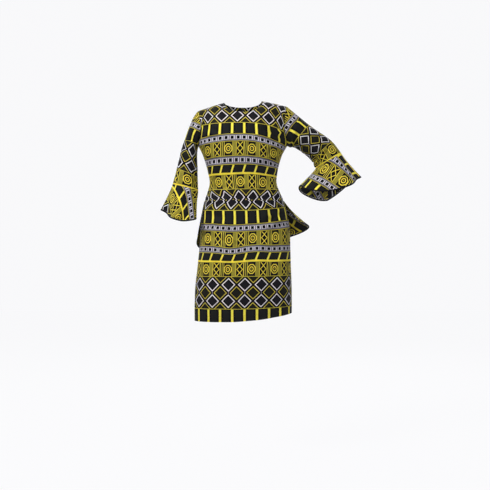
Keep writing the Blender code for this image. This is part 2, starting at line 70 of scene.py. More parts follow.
# %% Floor and light
FLOOR_Z = -1.51
STAGE_SIZE = 60.0
WALL_AWAY = 9.0
STAGE_GLOW = 0.95
WORLD_LIGHT = 0.2
Backdrop = namedtuple("Backdrop", "name place turn in_gloss")
BACKDROPS = (
    Backdrop("floor", (0, 0, FLOOR_Z), (0, 0, 0), True),
    Backdrop("wall", (0, WALL_AWAY, 0), (UPRIGHT, 0, 0), True),
    Backdrop("wall_before", (0, -WALL_AWAY, 0), (UPRIGHT, 0, 0), False),
    Backdrop("wall_left", (WALL_AWAY, 0, 0), (0, UPRIGHT, 0), False),
    Backdrop("wall_right", (-WALL_AWAY, 0, 0), (0, UPRIGHT, 0), False),
)


def new_material(name, settings):
    """A new material with the given socket values, and its shader."""
    made = bpy.data.materials.new(name)
    made.use_nodes = True
    shader = made.node_tree.nodes["Principled BSDF"]
    for socket, value in settings.items():
        shader.inputs[socket].default_value = value
    return made, shader


def area_light(name, place, aim, size, watts):
    """A square light panel that faces a point."""
    data = bpy.data.lights.new(name, "AREA")
    data.shape = "SQUARE"
    data.size = size
    data.energy = watts
    lamp = bpy.data.objects.new(name, data)
    lamp.location = place
    lamp.rotation_euler = (Vector(aim) - Vector(place)).to_track_quat("-Z", "Y").to_euler()
    bpy.context.scene.collection.objects.link(lamp)


bpy.ops.object.select_all(action="DESELECT")
WHITE_STAGE, _ = new_material("white_stage", {
    "Base Color": (0.03, 0.03, 0.03, 1),
    "Roughness": 1.0,
    "Specular IOR Level": 0.0,
    "Emission Color": (0.985, 0.985, 1.0, 1),
    "Emission Strength": STAGE_GLOW,
})
for row in BACKDROPS:
    bpy.ops.mesh.primitive_plane_add(size=STAGE_SIZE, location=row.place, rotation=row.turn)
    backdrop = bpy.context.active_object
    backdrop.name = row.name
    backdrop.data.materials.append(WHITE_STAGE)
    backdrop.visible_diffuse = False
    backdrop.visible_glossy = row.in_gloss
    backdrop.visible_shadow = row.in_gloss

AIM = (0.0, 0.0, -0.5)
Panel = namedtuple("Panel", "name place size watts")
PANELS = (
    Panel("key", (-2.5, -2.7, 2.4), 1.2, 150),
    Panel("fill", (2.8, -3.2, 0.2), 2.6, 40),
    Panel("back", (0.5, 3.2, 1.6), 2.0, 90),
    Panel("top", (0.0, -0.5, 3.2), 2.4, 14),
)
for row in PANELS:
    area_light(row.name, row.place, AIM, row.size, row.watts)

world = bpy.data.worlds.new("studio")
world.use_nodes = True
world.node_tree.nodes["Background"].inputs["Color"].default_value = (1, 1, 1, 1)
world.node_tree.nodes["Background"].inputs["Strength"].default_value = WORLD_LIGHT
bpy.context.scene.world = world
print("lights:", [row.name for row in PANELS])

# %% [markdown]
# The dress's form is given by short tables, the same as the model's. The first holds level rings
# round the body: the middle, half the width, and how deep it is before and behind. A rounded
# oblong, between an ellipse and a rectangle, joins these into the outline of worn cloth.

# %% Body rings
ROUNDNESS = 2.4
HEM = -0.921
WAIST = -0.42
UNDERARM = -0.19
FACE_SIGN = {"front": -1, "back": 1}
SIDE_SIGN = {"left": 1, "right": -1}
HEM_LIFT = 0.031
HEM_LIFT_FROM = -0.10
HEM_LIFT_SPAN = 0.30
HEM_LIFT_TOP = -0.55
HEM_LIFT_CURVE = 1.5
Ring = namedtuple("Ring", "z centre half_width front back")
RINGS = (
    Ring(-0.921, 0.005, 0.204, 0.115, 0.120),
    Ring(-0.860, 0.005, 0.204, 0.118, 0.124),
    Ring(-0.780, 0.006, 0.202, 0.122, 0.130),
    Ring(-0.700, 0.009, 0.196, 0.124, 0.136),
    Ring(-0.620, 0.012, 0.191, 0.122, 0.138),
    Ring(-0.550, 0.013, 0.188, 0.118, 0.134),
    Ring(-0.500, 0.013, 0.182, 0.113, 0.125),
    Ring(-0.420, 0.009, 0.165, 0.106, 0.104),
    Ring(-0.350, 0.005, 0.141, 0.102, 0.088),
    Ring(-0.300, 0.003, 0.146, 0.108, 0.088),
    Ring(-0.256, 0.002, 0.157, 0.118, 0.092),
    Ring(-0.222, 0.002, 0.169, 0.125, 0.096),
    Ring(-0.190, 0.0035, 0.1865, 0.122, 0.098),
)
print(len(RINGS), "rings from hem to underarm")

# %% [markdown]
# The neck, the shoulder tips and the armholes shape the upper bodice. Each sleeve is a row of
# sections from the armhole to the bell: the two ends of its upright middle line, how far behind
# the shoulder it lies and half its depth. One arm bends out and the other hangs.

# %% Neck, armholes and sleeves
NECK_CENTRE = 0.004
NECK_HALF_WIDTH = 0.078
NECK_SIDE_Z = {"left": -0.001, "right": -0.008}
NECK_FRONT = (-0.071, -0.055)
NECK_BACK = (0.068, -0.019)
TIP = {"left": (0.188, -0.024), "right": (-0.186, -0.044)}
ARMHOLE_DEPTH = 0.062
ARMHOLE_INSET = 0.012
ARMHOLE_REACH = 5
ARMHOLE_BLEND = 0.3
ROLL_START = 0.2
ROLL_RISE = 4
CHEST_EASE = 1.6
BACK_EASE = 1.05
Section = namedtuple("Section", "along top_x top_z under_x under_z middle_y half_depth")
SLEEVES = {
    "left": (
        Section(0.00, 0.188, -0.024, 0.190, -0.190, 0.000, 0.062),
        Section(0.22, 0.236, -0.064, 0.220, -0.195, 0.003, 0.060),
        Section(0.42, 0.283, -0.101, 0.249, -0.212, 0.008, 0.057),
        Section(0.62, 0.333, -0.135, 0.280, -0.236, 0.016, 0.054),
        Section(0.82, 0.381, -0.169, 0.302, -0.256, 0.024, 0.052),
        Section(1.00, 0.420, -0.218, 0.311, -0.281, 0.028, 0.051),
    ),
    "right": (
        Section(0.00, -0.186, -0.044, -0.183, -0.190, 0.000, 0.062),
        Section(0.14, -0.205, -0.073, -0.187, -0.204, -0.001, 0.061),
        Section(0.30, -0.223, -0.115, -0.188, -0.229, -0.004, 0.059),
        Section(0.46, -0.240, -0.165, -0.187, -0.262, -0.010, 0.057),
        Section(0.64, -0.256, -0.220, -0.186, -0.300, -0.017, 0.055),
        Section(0.82, -0.270, -0.282, -0.185, -0.340, -0.024, 0.053),
        Section(1.00, -0.289, -0.352, -0.182, -0.379, -0.030, 0.053),
    ),
}
print("sleeves:", {side: len(rows) for side, rows in SLEEVES.items()}, "sections")

# %% [markdown]
# The bell flounces and the peplum are cut as parts of flat rings, so their hems are much longer
# than their seams and fall in waves. The tables say where each hem lies and how deep it waves.

# %% Bells and peplum
Bell = namedtuple("Bell", "outer inner front_z back_z middle_y half_depth waves wave_depth phase")
BELLS = {
    "left": Bell((0.494, -0.314), (0.243, -0.350), -0.376, -0.408, 0.012, 0.092, 5, 0.008, 0.9),
    "right": Bell((-0.326, -0.454), (-0.187, -0.485), -0.500, -0.486, -0.046, 0.088, 5, 0.011, 0.4),
}
BELL_FLARE = 1.15
BELL_TUCK = 0.75
BELL_DIP = 1.5
BELL_UNEVEN = 0.2
BELL_LAG = 0.5
Flare = namedtuple("Flare", "round_back stand_off drop")
PEPLUM = (
    Flare(0.00, 0.050, 0.080),
    Flare(0.07, 0.076, 0.094),
    Flare(0.16, 0.074, 0.138),
    Flare(0.30, 0.062, 0.162),
    Flare(0.50, 0.054, 0.182),
    Flare(0.70, 0.042, 0.192),
    Flare(0.88, 0.018, 0.192),
    Flare(1.00, 0.007, 0.150),
)
PEPLUM_SEAT = 0.0021
PEPLUM_CURVE = 1.25
PEPLUM_WAVES = 6
PEPLUM_WAVE_SHARE = 0.24
PEPLUM_WAVE_PHASE = 2.2
PEPLUM_UNEVEN = 0.6
PEPLUM_UNEVEN_TURN = 5
PEPLUM_SPLIT = 0.004
LOOK_AHEAD = 0.01
SEAM = 0.0003
HALF_SEAM = SEAM / 2
BINDING = 0.007
BINDING_WALL = 0.0024
print("peplum waves:", PEPLUM_WAVES)

# %% [markdown]
# Worn cotton creases where the body bends it: from the armhole across the chest on the raised
# arm's side, across the squeezed waist and up to the hip. Each crease is one row with its two
# ends, its width and its depth, and no two are alike.

# %% Creases of the body
Crease = namedtuple("Crease", "x1 z1 x2 z2 width depth")
FRONT_CREASES = (
    Crease(0.108, -0.508, 0.186, -0.452, 0.011, 0.0060),
    Crease(0.118, -0.474, 0.178, -0.428, 0.009, 0.0048),
    Crease(0.126, -0.540, 0.190, -0.506, 0.010, 0.0040),
    Crease(0.060, -0.520, 0.120, -0.496, 0.010, 0.0026),
    Crease(0.095, -0.132, 0.160, -0.172, 0.011, 0.0050),
    Crease(0.088, -0.088, 0.164, -0.118, 0.012, 0.0050),
    Crease(0.060, -0.172, 0.166, -0.192, 0.010, 0.0040),
    Crease(0.085, -0.236, 0.160, -0.212, 0.010, 0.0036),
    Crease(0.070, -0.285, 0.140, -0.262, 0.010, 0.0030),
    Crease(-0.110, -0.396, 0.105, -0.412, 0.010, 0.0042),
    Crease(-0.132, -0.362, -0.050, -0.376, 0.009, 0.0036),
    Crease(0.050, -0.345, 0.138, -0.364, 0.009, 0.0038),
    Crease(-0.010, -0.378, 0.110, -0.386, 0.008, 0.0030),
    Crease(-0.125, -0.330, -0.070, -0.322, 0.009, 0.0026),
    Crease(-0.160, -0.560, -0.035, -0.602, 0.013, 0.0042),
    Crease(-0.165, -0.520, -0.060, -0.548, 0.011, 0.0034),
    Crease(-0.140, -0.478, -0.075, -0.492, 0.010, 0.0028),
    Crease(-0.030, -0.612, 0.060, -0.590, 0.013, 0.0026),
    Crease(-0.155, -0.118, -0.075, -0.146, 0.011, 0.0036),
    Crease(-0.155, -0.172, -0.085, -0.166, 0.010, 0.0032),
    Crease(-0.145, -0.250, -0.090, -0.262, 0.010, 0.0028),
    Crease(-0.088, -0.680, -0.078, -0.930, 0.024, 0.0040),
    Crease(0.112, -0.640, 0.128, -0.930, 0.026, 0.0042),
    Crease(0.015, -0.760, 0.022, -0.930, 0.024, 0.0026),
    Crease(-0.150, -0.640, -0.120, -0.700, 0.013, 0.0024),
)
BACK_CREASES = (
    Crease(-0.155, -0.128, -0.065, -0.156, 0.011, 0.0044),
    Crease(-0.150, -0.178, -0.080, -0.184, 0.010, 0.0034),
    Crease(0.075, -0.120, 0.160, -0.166, 0.011, 0.0050),
    Crease(0.070, -0.206, 0.155, -0.190, 0.010, 0.0036),
    Crease(-0.115, -0.342, -0.012, -0.362, 0.010, 0.0046),
    Crease(0.016, -0.330, 0.122, -0.352, 0.010, 0.0044),
    Crease(-0.100, -0.386, 0.098, -0.392, 0.010, 0.0042),
    Crease(-0.085, -0.302, -0.014, -0.312, 0.009, 0.0030),
    Crease(0.018, -0.286, 0.095, -0.300, 0.009, 0.0032),
    Crease(-0.125, -0.700, -0.026, -0.716, 0.012, 0.0036),
    Crease(0.036, -0.724, 0.135, -0.700, 0.012, 0.0036),
    Crease(0.074, -0.760, 0.086, -0.930, 0.024, 0.0036),
    Crease(-0.080, -0.780, -0.092, -0.930, 0.024, 0.0036),
)
print("body creases:", len(FRONT_CREASES) + len(BACK_CREASES))

# %% [markdown]
# A few small tools serve the rest. One draws a smooth curve through a table's column, so that a
# few rows give the whole form. Another spaces points evenly along a line, so that the mesh is even.

# %% Smooth tables and even steps
FINE = 128


def held(value):
    """A number held between 0 and 1."""
    return min(max(value, 0.0), 1.0)


def smooth(rows, column, at):
    """A smooth curve through one column of a table whose first column rises."""
    keys = [row[0] for row in rows]
    values = [getattr(row, column) for row in rows]
    last = len(rows) - 1
    i = min(max(sum(key <= at for key in keys) - 1, 0), last - 1)

    def slope(k):
        low = max(k - 1, 0)
        high = min(k + 1, last)
        return (values[high] - values[low]) / (keys[high] - keys[low])

    span = keys[i + 1] - keys[i]
    t = held((at - keys[i]) / span)
    start = (1 + 2 * t) * (1 - t) ** 2 * values[i] + t * (1 - t) ** 2 * span * slope(i)
    end = t * t * (3 - 2 * t) * values[i + 1] - t * t * (1 - t) * span * slope(i + 1)
    return start + end


def reaches(points):
    """How far along a line of points each one lies."""
    reach = [0.0]
    for a, b in zip(points, points[1:]):
        reach.append(reach[-1] + (b - a).length)
    return reach


def walk(reach, goals):
    """For rising distances along a line: the step each falls in, and how far into that step."""
    i = 0
    for goal in goals:
        while i < len(reach) - 2 and reach[i + 1] < goal:
            i += 1
        yield i, held((goal - reach[i]) / (reach[i + 1] - reach[i]))


def evenly(points, count, start=0.0, stop=1.0):
    """count + 1 points at even distances along a line of many points."""
    reach = reaches(points)
    goals = [reach[-1] * (start + (stop - start) * step / count) for step in range(count + 1)]
    return [points[i].lerp(points[i + 1], part) for i, part in walk(reach, goals)]


def copied(rows):
    """Rows of points that can be moved without moving the first ones."""
    return [[point.copy() for point in row] for row in rows]


def heights(low, high, count):
    """Even steps from one height to another."""
    return [low + (high - low) * step / count for step in range(count + 1)]


print("halfway up the rings the half width is", round(smooth(RINGS, "half_width", -0.56), 4))

# %% [markdown]
# A row of the body is half a ring, pushed in by the creases. They fade out towards the side seams,
# where the front meets the back, so the two panels keep one edge. The hem rides up a little on the
# side of the raised arm.

# %% Rows of the body
CREASE_FADE = 0.05
CREASE_STRENGTH = 1.35
RIDGE_SHARE = 0.4
RIDGE_AWAY = 1.8
TROUGH_REACH = 4


def trough(away):
    """The section of a crease: a trough with a low ridge along each side."""
    if away >= TROUGH_REACH:
        return 0.0
    return math.exp(-away * away) - RIDGE_SHARE * math.exp(-((away - RIDGE_AWAY) ** 2))


def fold_at(here, start, stop, width, depth):
    """How far one fold between two places pushes in a third."""
    along = stop - start
    t = held((here - start).dot(along) / along.length_squared)
    return depth * trough((here - start - along * t).length / width)


def crease_depth(creases, x, z):
    """How far the creases push a place in."""
    total = 0.0
    for crease in creases:
        start = Vector((crease.x1, crease.z1))
        stop = Vector((crease.x2, crease.z2))
        total += fold_at(Vector((x, z)), start, stop, crease.width, crease.depth)
    return total * CREASE_STRENGTH


def creased(point, face):
    """A point pushed in by its panel's creases."""
    sign = FACE_SIGN[face]
    fade = held(sign * point.y / CREASE_FADE)
    creases = FRONT_CREASES if face == "front" else BACK_CREASES
    return point - Vector((0, sign * fade * crease_depth(creases, point.x, point.z), 0))


def lifted(point):
    """The skirt's hem rides up a little towards the wearer's left."""
    across = max(point.x - HEM_LIFT_FROM, 0.0) / HEM_LIFT_SPAN
    down = max(HEM_LIFT_TOP - point.z, 0.0) / (HEM_LIFT_TOP - HEM)
    return point + Vector((0, 0, HEM_LIFT * across**2 * down**HEM_LIFT_CURVE))


def ring_half(z, face):
    """The front half of a ring from the wearer's right to left, or its back half the other way."""
    centre = smooth(RINGS, "centre", z)
    half_width = smooth(RINGS, "half_width", z)
    depth = smooth(RINGS, face, z)
    sign = FACE_SIGN[face]
    points = []
    for step in range(FINE + 1):
        turn = math.pi * step / FINE
        wide = math.copysign(abs(math.cos(turn)) ** (2 / ROUNDNESS), math.cos(turn))
        deep = abs(math.sin(turn)) ** (2 / ROUNDNESS) if 0 < step < FINE else 0.0
        points.append(Vector((centre + sign * half_width * wide, sign * depth * deep, z)))
    return points


waist_row = ring_half(WAIST, "front")
print("a waist row runs from", waist_row[0][:], "to", waist_row[-1][:])

# %% [markdown]
# Above the underarm the bodice is bent between four edges: its lowest row, the two armholes and
# the top edge, which runs along a shoulder seam, round the neck and along the other shoulder seam.
# Near a shoulder the cloth rolls over, so it meets the seam lying flat.

# %% The upper bodice
ACROSS = 96
QUARTER = ACROSS // 4
YOKE_ROWS = 48
BODICE_ROWS = 40
SKIRT_ROWS = 84


def armhole_point(side, face, v):
    """The armhole's edge from the underarm (0) to the shoulder tip (1)."""
    tip_x, tip_z = TIP[side]
    under_x = SLEEVES[side][0].under_x
    rise = (1 - math.cos(math.pi * v)) / 2
    swing = math.sin(math.pi * v)
    inset = math.copysign(ARMHOLE_INSET, tip_x) * swing**2
    deep = ARMHOLE_DEPTH * swing * FACE_SIGN[face]
    x = under_x + (tip_x - under_x) * rise - inset
    return Vector((x, deep, UNDERARM + (tip_z - UNDERARM) * rise))


def top_row(face):
    """The top edge of a bodice: shoulder seam, neckline, shoulder seam."""
    deep, low = NECK_FRONT if face == "front" else NECK_BACK
    row = []
    for column in range(ACROSS + 1):
        if QUARTER < column < 3 * QUARTER:
            part = (column - QUARTER) / (2 * QUARTER)
            turn = math.pi * part
            edge = NECK_SIDE_Z["right"] + (NECK_SIDE_Z["left"] - NECK_SIDE_Z["right"]) * part
            x = NECK_CENTRE - NECK_HALF_WIDTH * math.cos(turn)
            row.append(Vector((x, deep * math.sin(turn), edge + (low - edge) * math.sin(turn))))
            continue
        side = "right" if column <= QUARTER else "left"
        tip_x, tip_z = TIP[side]
        neck = Vector((NECK_CENTRE + math.copysign(NECK_HALF_WIDTH, tip_x), 0, NECK_SIDE_Z[side]))
        share = (abs(column - 2 * QUARTER) - QUARTER) / QUARTER
        row.append(neck.lerp(Vector((tip_x, 0, tip_z)), share))
    return row


def yoke_point(low, high, share, v, face, ends):
    """A point of the upper bodice. share runs across it, and v up from the underarm."""
    rolled = math.sin(math.pi * v / 2)
    ease = CHEST_EASE if face == "front" else BACK_EASE

    def between(a, b, up):
        return Vector((a.x + (b.x - a.x) * v, a.y + (b.y - a.y) * v**ease, a.z + (b.z - a.z) * up))

    roll = held(abs(share - 0.5) * ROLL_RISE - ROLL_START)
    point = between(low, high, (1 - roll) * v + roll * rolled)
    for side, weight in (("right", 1 - share), ("left", share)):
        apart = armhole_point(side, face, v) - between(*ends[side], rolled)
        point += apart * weight**ARMHOLE_REACH
    return point


def yoke_rows(face):
    """The rows of the upper bodice, in the order of the rings below them."""
    bottom = evenly(ring_half(UNDERARM, face), ACROSS)
    top = top_row(face)
    if face == "back":
        bottom.reverse()
    ends = {"right": (bottom[0], top[0]), "left": (bottom[-1], top[-1])}
    rows = []
    for step in range(1, YOKE_ROWS + 1):
        v = step / YOKE_ROWS
        row = [yoke_point(bottom[c], top[c], c / ACROSS, v, face, ends) for c in range(ACROSS + 1)]
        rows.append(row[::-1] if face == "back" else row)
    return rows


print("the neck's lowest point is at", yoke_rows("front")[-1][ACROSS // 2][:])

# %% [markdown]
# The rings and the upper bodice meet at the underarm in a slight fold, because they were worked
# out apart. Averaging each point with those above and below it rounds this off, everywhere but on
# the side seams and armholes, which other panels share.

# %% Ease the rows together
EASE_STEPS = 40
EASE_REACH = 0.075
EASE_MARGIN = 0.12


def eased(rows):
    """Rows whose fold at the underarm is rounded off."""
    rows = copied(rows)
    last = len(rows[0]) - 1
    for _ in range(EASE_STEPS):
        old = copied(rows)
        for i in range(1, len(rows) - 1):
            near = 1 - abs(old[i][last // 2].z - UNDERARM) / EASE_REACH
            if near <= 0:
                continue
            for j in range(1, last):
                side = min(min(j, last - j) / (last * EASE_MARGIN), 1.0)
                middle = (old[i - 1][j] + old[i + 1][j]) / 2
                rows[i][j] = old[i][j].lerp(middle, 0.5 * min(near * 2, 1.0) * side)
    return rows


print("rows are eased within", EASE_REACH, "m of the underarm")

# %% [markdown]
# Each panel also needs a map: for every point, where it lay on the flat printed cloth. Across, it
# is the distance from the panel's middle. Down, it is the distance below the top of the row of
# squares in the print. Worn cloth hangs askew, so the bands drop towards the armhole on the raised
# arm's side and rise towards its hip, and sag in a few places. A short table holds this too.

# %% Cloth map of the body
BODICE_PRINT_TOP = -0.1065
SKIRT_PRINT_TOP = -0.4645
Slant = namedtuple("Slant", "z left right all_over")
SLANTS = (
    Slant(-0.930, 0.000, 0.000, 0.000),
    Slant(-0.750, 0.000, 0.000, 0.000),
    Slant(-0.620, -0.003, 0.000, 0.000),
    Slant(-0.560, -0.009, -0.002, 0.000),
    Slant(-0.500, -0.016, -0.004, 0.000),
    Slant(-0.430, -0.012, 0.000, 0.000),
    Slant(-0.350, 0.006, 0.002, 0.000),
    Slant(-0.277, 0.022, 0.008, -0.003),
    Slant(-0.244, 0.030, 0.012, -0.009),
    Slant(-0.179, 0.046, 0.016, -0.010),
    Slant(-0.153, 0.047, 0.016, -0.011),
    Slant(-0.106, 0.036, 0.010, -0.003),
    Slant(-0.050, 0.030, 0.010, 0.000),
)
SLANT_HALF_WIDTH = 0.18
ROLL_SHARE = 0.8
YOKE_WIDENING = 1.04
BODICE_REPEATS = 4
SLEEVE_REPEATS = 8
PRINT_LENGTH = 0.404
PRINT_LIFT = 0.65
# Darts take up cloth at the waist, so there the print's motifs stand closer together.
Gather = namedtuple("Gather", "z share")
GATHERS = (
    Gather(-0.930, 1.00),
    Gather(-0.560, 1.00),
    Gather(-0.500, 1.07),
    Gather(-0.450, 1.10),
    Gather(-0.420, 1.28),
    Gather(-0.390, 1.12),
    Gather(-0.350, 1.03),
    Gather(-0.300, 1.00),
    Gather(-0.050, 1.00),
)
# Folds tug the print down and across round a place.
Tug = namedtuple("Tug", "x z wide high down across")
TUGS = (
    Tug(-0.048, -0.615, 0.050, 0.050, 0.010, 0.000),
    Tug(-0.040, -0.520, 0.060, 0.040, 0.004, 0.000),
    Tug(0.030, -0.330, 0.050, 0.050, -0.003, 0.000),
    Tug(0.060, -0.640, 0.050, 0.060, -0.004, 0.000),
    Tug(0.157, -0.126, 0.012, 0.007, 0.000, -0.006),
    Tug(0.158, -0.143, 0.012, 0.007, 0.000, 0.010),
    Tug(0.156, -0.160, 0.012, 0.007, 0.000, -0.004),
    Tug(0.120, -0.146, 0.011, 0.009, 0.000, 0.005),
    Tug(0.182, -0.128, 0.010, 0.008, 0.003, 0.006),
    Tug(0.180, -0.146, 0.010, 0.008, 0.003, -0.008),
    Tug(0.135, -0.300, 0.012, 0.008, 0.000, 0.005),
    Tug(0.110, -0.312, 0.010, 0.008, 0.000, -0.004),
    Tug(0.125, -0.490, 0.013, 0.013, 0.000, 0.006),
    Tug(0.160, -0.480, 0.012, 0.012, 0.002, -0.006),
    Tug(0.150, -0.262, 0.016, 0.014, 0.002, 0.005),
    Tug(-0.070, -0.400, 0.030, 0.014, 0.002, 0.004),
)


def band_shift(x, z):
    """How far the print lies below the level at a place, and how far it is tugged across."""
    side = "left" if x > 0 else "right"
    down = smooth(SLANTS, side, z) * (x / SLANT_HALF_WIDTH) ** 2 + smooth(SLANTS, "all_over", z)
    across = 0.0
    for tug in TUGS:
        near = math.exp(-(((x - tug.x) / tug.wide) ** 2) - ((z - tug.z) / tug.high) ** 2)
        down += tug.down * near
        across += tug.across * near
    return down, across


def row_map(row, middle):
    """Signed distances along a row from its middle column."""
    across = [0.0] * len(row)
    for j in range(middle + 1, len(row)):
        across[j] = across[j - 1] + (row[j] - row[j - 1]).length
    for j in range(middle - 1, -1, -1):
        across[j] = across[j + 1] - (row[j + 1] - row[j]).length
    return across


def body_map(rows, print_top, ring_rows):
    """Places on the flat cloth for the rows of a panel, of which the first ring_rows are rings."""
    middle = len(rows[0]) // 2
    top = rows[-1]
    low = row_map(rows[ring_rows - 1], middle)
    sign = 1 if rows[0][-1].x > 0 else -1
    flat = []
    for i, row in enumerate(rows):
        if i < ring_rows:
            share = smooth(GATHERS, "share", row[middle].z)
            across = [value * share for value in row_map(row, middle)]
            down = [print_top - point.z for point in row]
        else:
            v = (i - ring_rows + 1) / (len(rows) - ring_rows)
            across = [
                low[j] + (sign * YOKE_WIDENING * (top[j].x - top[middle].x) - low[j]) * v
                for j in range(len(row))
            ]
            for j, point in enumerate(row):
                step = point - rows[i - 1][j]
                down[j] -= max(step.z, ROLL_SHARE * step.length)
        shifts = [band_shift(point.x, point.z) for point in row]
        flat.append([
            (across[j] - sign * aside, down[j] - fall) for j, (fall, aside) in enumerate(shifts)
        ])
    return flat


print("the bands drop", round(band_shift(0.17, -0.16)[0], 4), "m by the left armhole")

# %% [markdown]
# A sleeve is a tube through its sections, and its first ring is the armhole itself. Its print runs
# down the arm, and starts lower under the arm than at the shoulder, where the sleeve's cap rises.
# The bent arm creases its sleeve inside the elbow; both sleeves have drag lines under the arm.

# %% Sleeve rows and their map
SLEEVE_ROWS = 64
SLEEVE_COLUMNS = 2 * YOKE_ROWS
SLEEVE_LENGTH = 0.34
SLEEVE_PRINT_START = {"left": 0.132, "right": 0.141}
SLEEVE_PRINT_END = -0.199
SLEEVE_ACROSS = {"left": 0.0, "right": 0.1245}
SLEEVE_LAG = {"left": 0.02, "right": 0.05}
SLEEVE_CAP_SHARE = {"left": 0.30, "right": 0.40}
SLEEVE_HALF_ROUND = {"left": (0.195, 0.165), "right": (0.150, 0.128)}
FOLD_FADE_TOP = 12
FOLD_FADE_END = 16
# turn is counted from the shoulder over the front, in parts of a whole round.
Fold = namedtuple("Fold", "along1 turn1 along2 turn2 width depth")
SLEEVE_FOLDS = {
    "left": (
        Fold(0.93, 0.44, 0.86, 0.24, 0.009, 0.0060),
        Fold(0.84, 0.50, 0.76, 0.26, 0.009, 0.0050),
        Fold(0.72, 0.48, 0.60, 0.30, 0.009, 0.0036),
        Fold(0.08, 0.46, 0.34, 0.22, 0.010, 0.0052),
        Fold(0.05, 0.36, 0.22, 0.12, 0.009, 0.0042),
        Fold(0.24, 0.49, 0.50, 0.33, 0.010, 0.0036),
        Fold(0.46, 0.22, 0.66, 0.10, 0.010, 0.0024),
        Fold(0.93, 0.56, 0.85, 0.78, 0.009, 0.0056),
        Fold(0.80, 0.54, 0.70, 0.72, 0.009, 0.0040),
        Fold(0.08, 0.58, 0.36, 0.80, 0.010, 0.0050),
        Fold(0.46, 0.60, 0.66, 0.86, 0.010, 0.0034),
    ),
    "right": (
        Fold(0.05, 0.54, 0.28, 0.84, 0.009, 0.0046),
        Fold(0.06, 0.46, 0.34, 0.20, 0.010, 0.0046),
        Fold(0.22, 0.48, 0.42, 0.26, 0.009, 0.0034),
        Fold(0.45, 0.34, 0.56, 0.06, 0.009, 0.0042),
        Fold(0.57, 0.46, 0.66, 0.18, 0.009, 0.0044),
        Fold(0.70, 0.40, 0.80, 0.10, 0.010, 0.0034),
        Fold(0.86, 0.44, 0.92, 0.22, 0.009, 0.0028),
        Fold(0.55, 0.60, 0.64, 0.92, 0.009, 0.0044),
        Fold(0.76, 0.60, 0.86, 0.84, 0.010, 0.0034),
    ),
}


def armhole_loop(side):
    """The armhole from the shoulder tip down one edge and up the other."""
    faces = ("front", "back") if side == "left" else ("back", "front")
    down = [armhole_point(side, faces[0], 1 - k / YOKE_ROWS) for k in range(YOKE_ROWS)]
    up = [armhole_point(side, faces[1], k / YOKE_ROWS) for k in range(YOKE_ROWS)]
    return down + up


def sleeve_ring(side, along, count):
    """Points of a sleeve's ring, and the way out at each."""
    top_x, top_z, under_x, under_z, middle_y, half_depth = (
        smooth(SLEEVES[side], column, along) for column in Section._fields[1:]
    )
    top = Vector((top_x, middle_y, top_z))
    under = Vector((under_x, middle_y, under_z))
    middle = (top + under) / 2
    up = (top - under) / 2
    forward = Vector((0, -SIDE_SIGN[side] * half_depth, 0))
    points = []
    ways = []
    for k in range(count):
        turn = math.tau * k / count
        points.append(middle + up * math.cos(turn) + forward * math.sin(turn))
        way = up * math.cos(turn) / up.length_squared + forward * math.sin(turn) / half_depth**2
        ways.append(way.normalized())
    return points, ways


def sleeve_fold_depth(side, along, turn):
    """How far the folds push in a place on a sleeve, measured on the sleeve laid flat."""
    whole_round = 2 * SLEEVE_HALF_ROUND[side][1]
    here = Vector((along * SLEEVE_LENGTH, turn * whole_round))
    total = 0.0
    for fold in SLEEVE_FOLDS[side]:
        start = Vector((fold.along1 * SLEEVE_LENGTH, fold.turn1 * whole_round))
        stop = Vector((fold.along2 * SLEEVE_LENGTH, fold.turn2 * whole_round))
        total += fold_at(here, start, stop, fold.width, fold.depth)
    return total * min(along * FOLD_FADE_TOP, 1.0) * min((1 - along) * FOLD_FADE_END, 1.0)


def sleeve_rows(side):
    """A sleeve's rings, its way out at the bell, and its flat map. Both start under the arm."""
    loop = armhole_loop(side)
    start, _ = sleeve_ring(side, 0.0, SLEEVE_COLUMNS)
    half = SLEEVE_COLUMNS // 2
    print_start = SLEEVE_PRINT_START[side]
    wide, narrow = SLEEVE_HALF_ROUND[side]
    rows = []
    flat = []
    for step in range(SLEEVE_ROWS + 1):
        along = step / SLEEVE_ROWS
        ring, ways = sleeve_ring(side, along, SLEEVE_COLUMNS)
        pull = max(1 - along / ARMHOLE_BLEND, 0.0) ** 2
        half_round = wide + (narrow - wide) * along
        row = []
        for k, point in enumerate(ring):
            turn = k / SLEEVE_COLUMNS
            depth = sleeve_fold_depth(side, along, turn if side == "left" else 1 - turn)
            row.append(point + (loop[k] - start[k]) * pull - ways[k] * depth)
        rows.append(row[half:] + row[:half])
        places = []
        for c in range(SLEEVE_COLUMNS + 1):
            cap = SLEEVE_CAP_SHARE[side] * (1 + math.cos(math.tau * c / SLEEVE_COLUMNS)) / 2
            down = cap + (1 - cap) * along - SLEEVE_LAG[side] * math.sin(math.pi * along)
            across = (c / half - 1) * half_round + SLEEVE_ACROSS[side]
            depth = print_start + (SLEEVE_PRINT_END - print_start) * down
            places.append((across, depth + SLEEVE_REPEATS * PRINT_LENGTH))
        flat.append(places)
    return rows, ways[half:] + ways[:half], flat


print("sleeve mesh:", SLEEVE_COLUMNS, "by", SLEEVE_ROWS)

# %% [markdown]
# Bells and peplum are cut from flat rings, so their map is round: the seam lies on a small arc and
# the hem on a large one, and the print runs straight across both. That is why its bands run along
# the arm in some places and round it in others.

# %% Bell and peplum rows and their maps
BELL_COLUMNS = 160
BELL_ROWS = 26
BELL_SEAM_RADIUS = 0.094
BELL_LENGTH = 0.118
BELL_FLAT_TURN = math.radians(194)
BELL_PRINT_SHIFT = {"left": 0.217, "right": 0.105}
BELL_PRINT_TURN = {"left": math.radians(133), "right": math.radians(218.5)}
PEPLUM_COLUMNS = 84
PEPLUM_ROWS = 30
PEPLUM_SEAM = 0.245
PEPLUM_FLAT_TURN = math.radians(88)
PEPLUM_PRINT_SHIFT = {"left": 0.235, "right": 0.190}


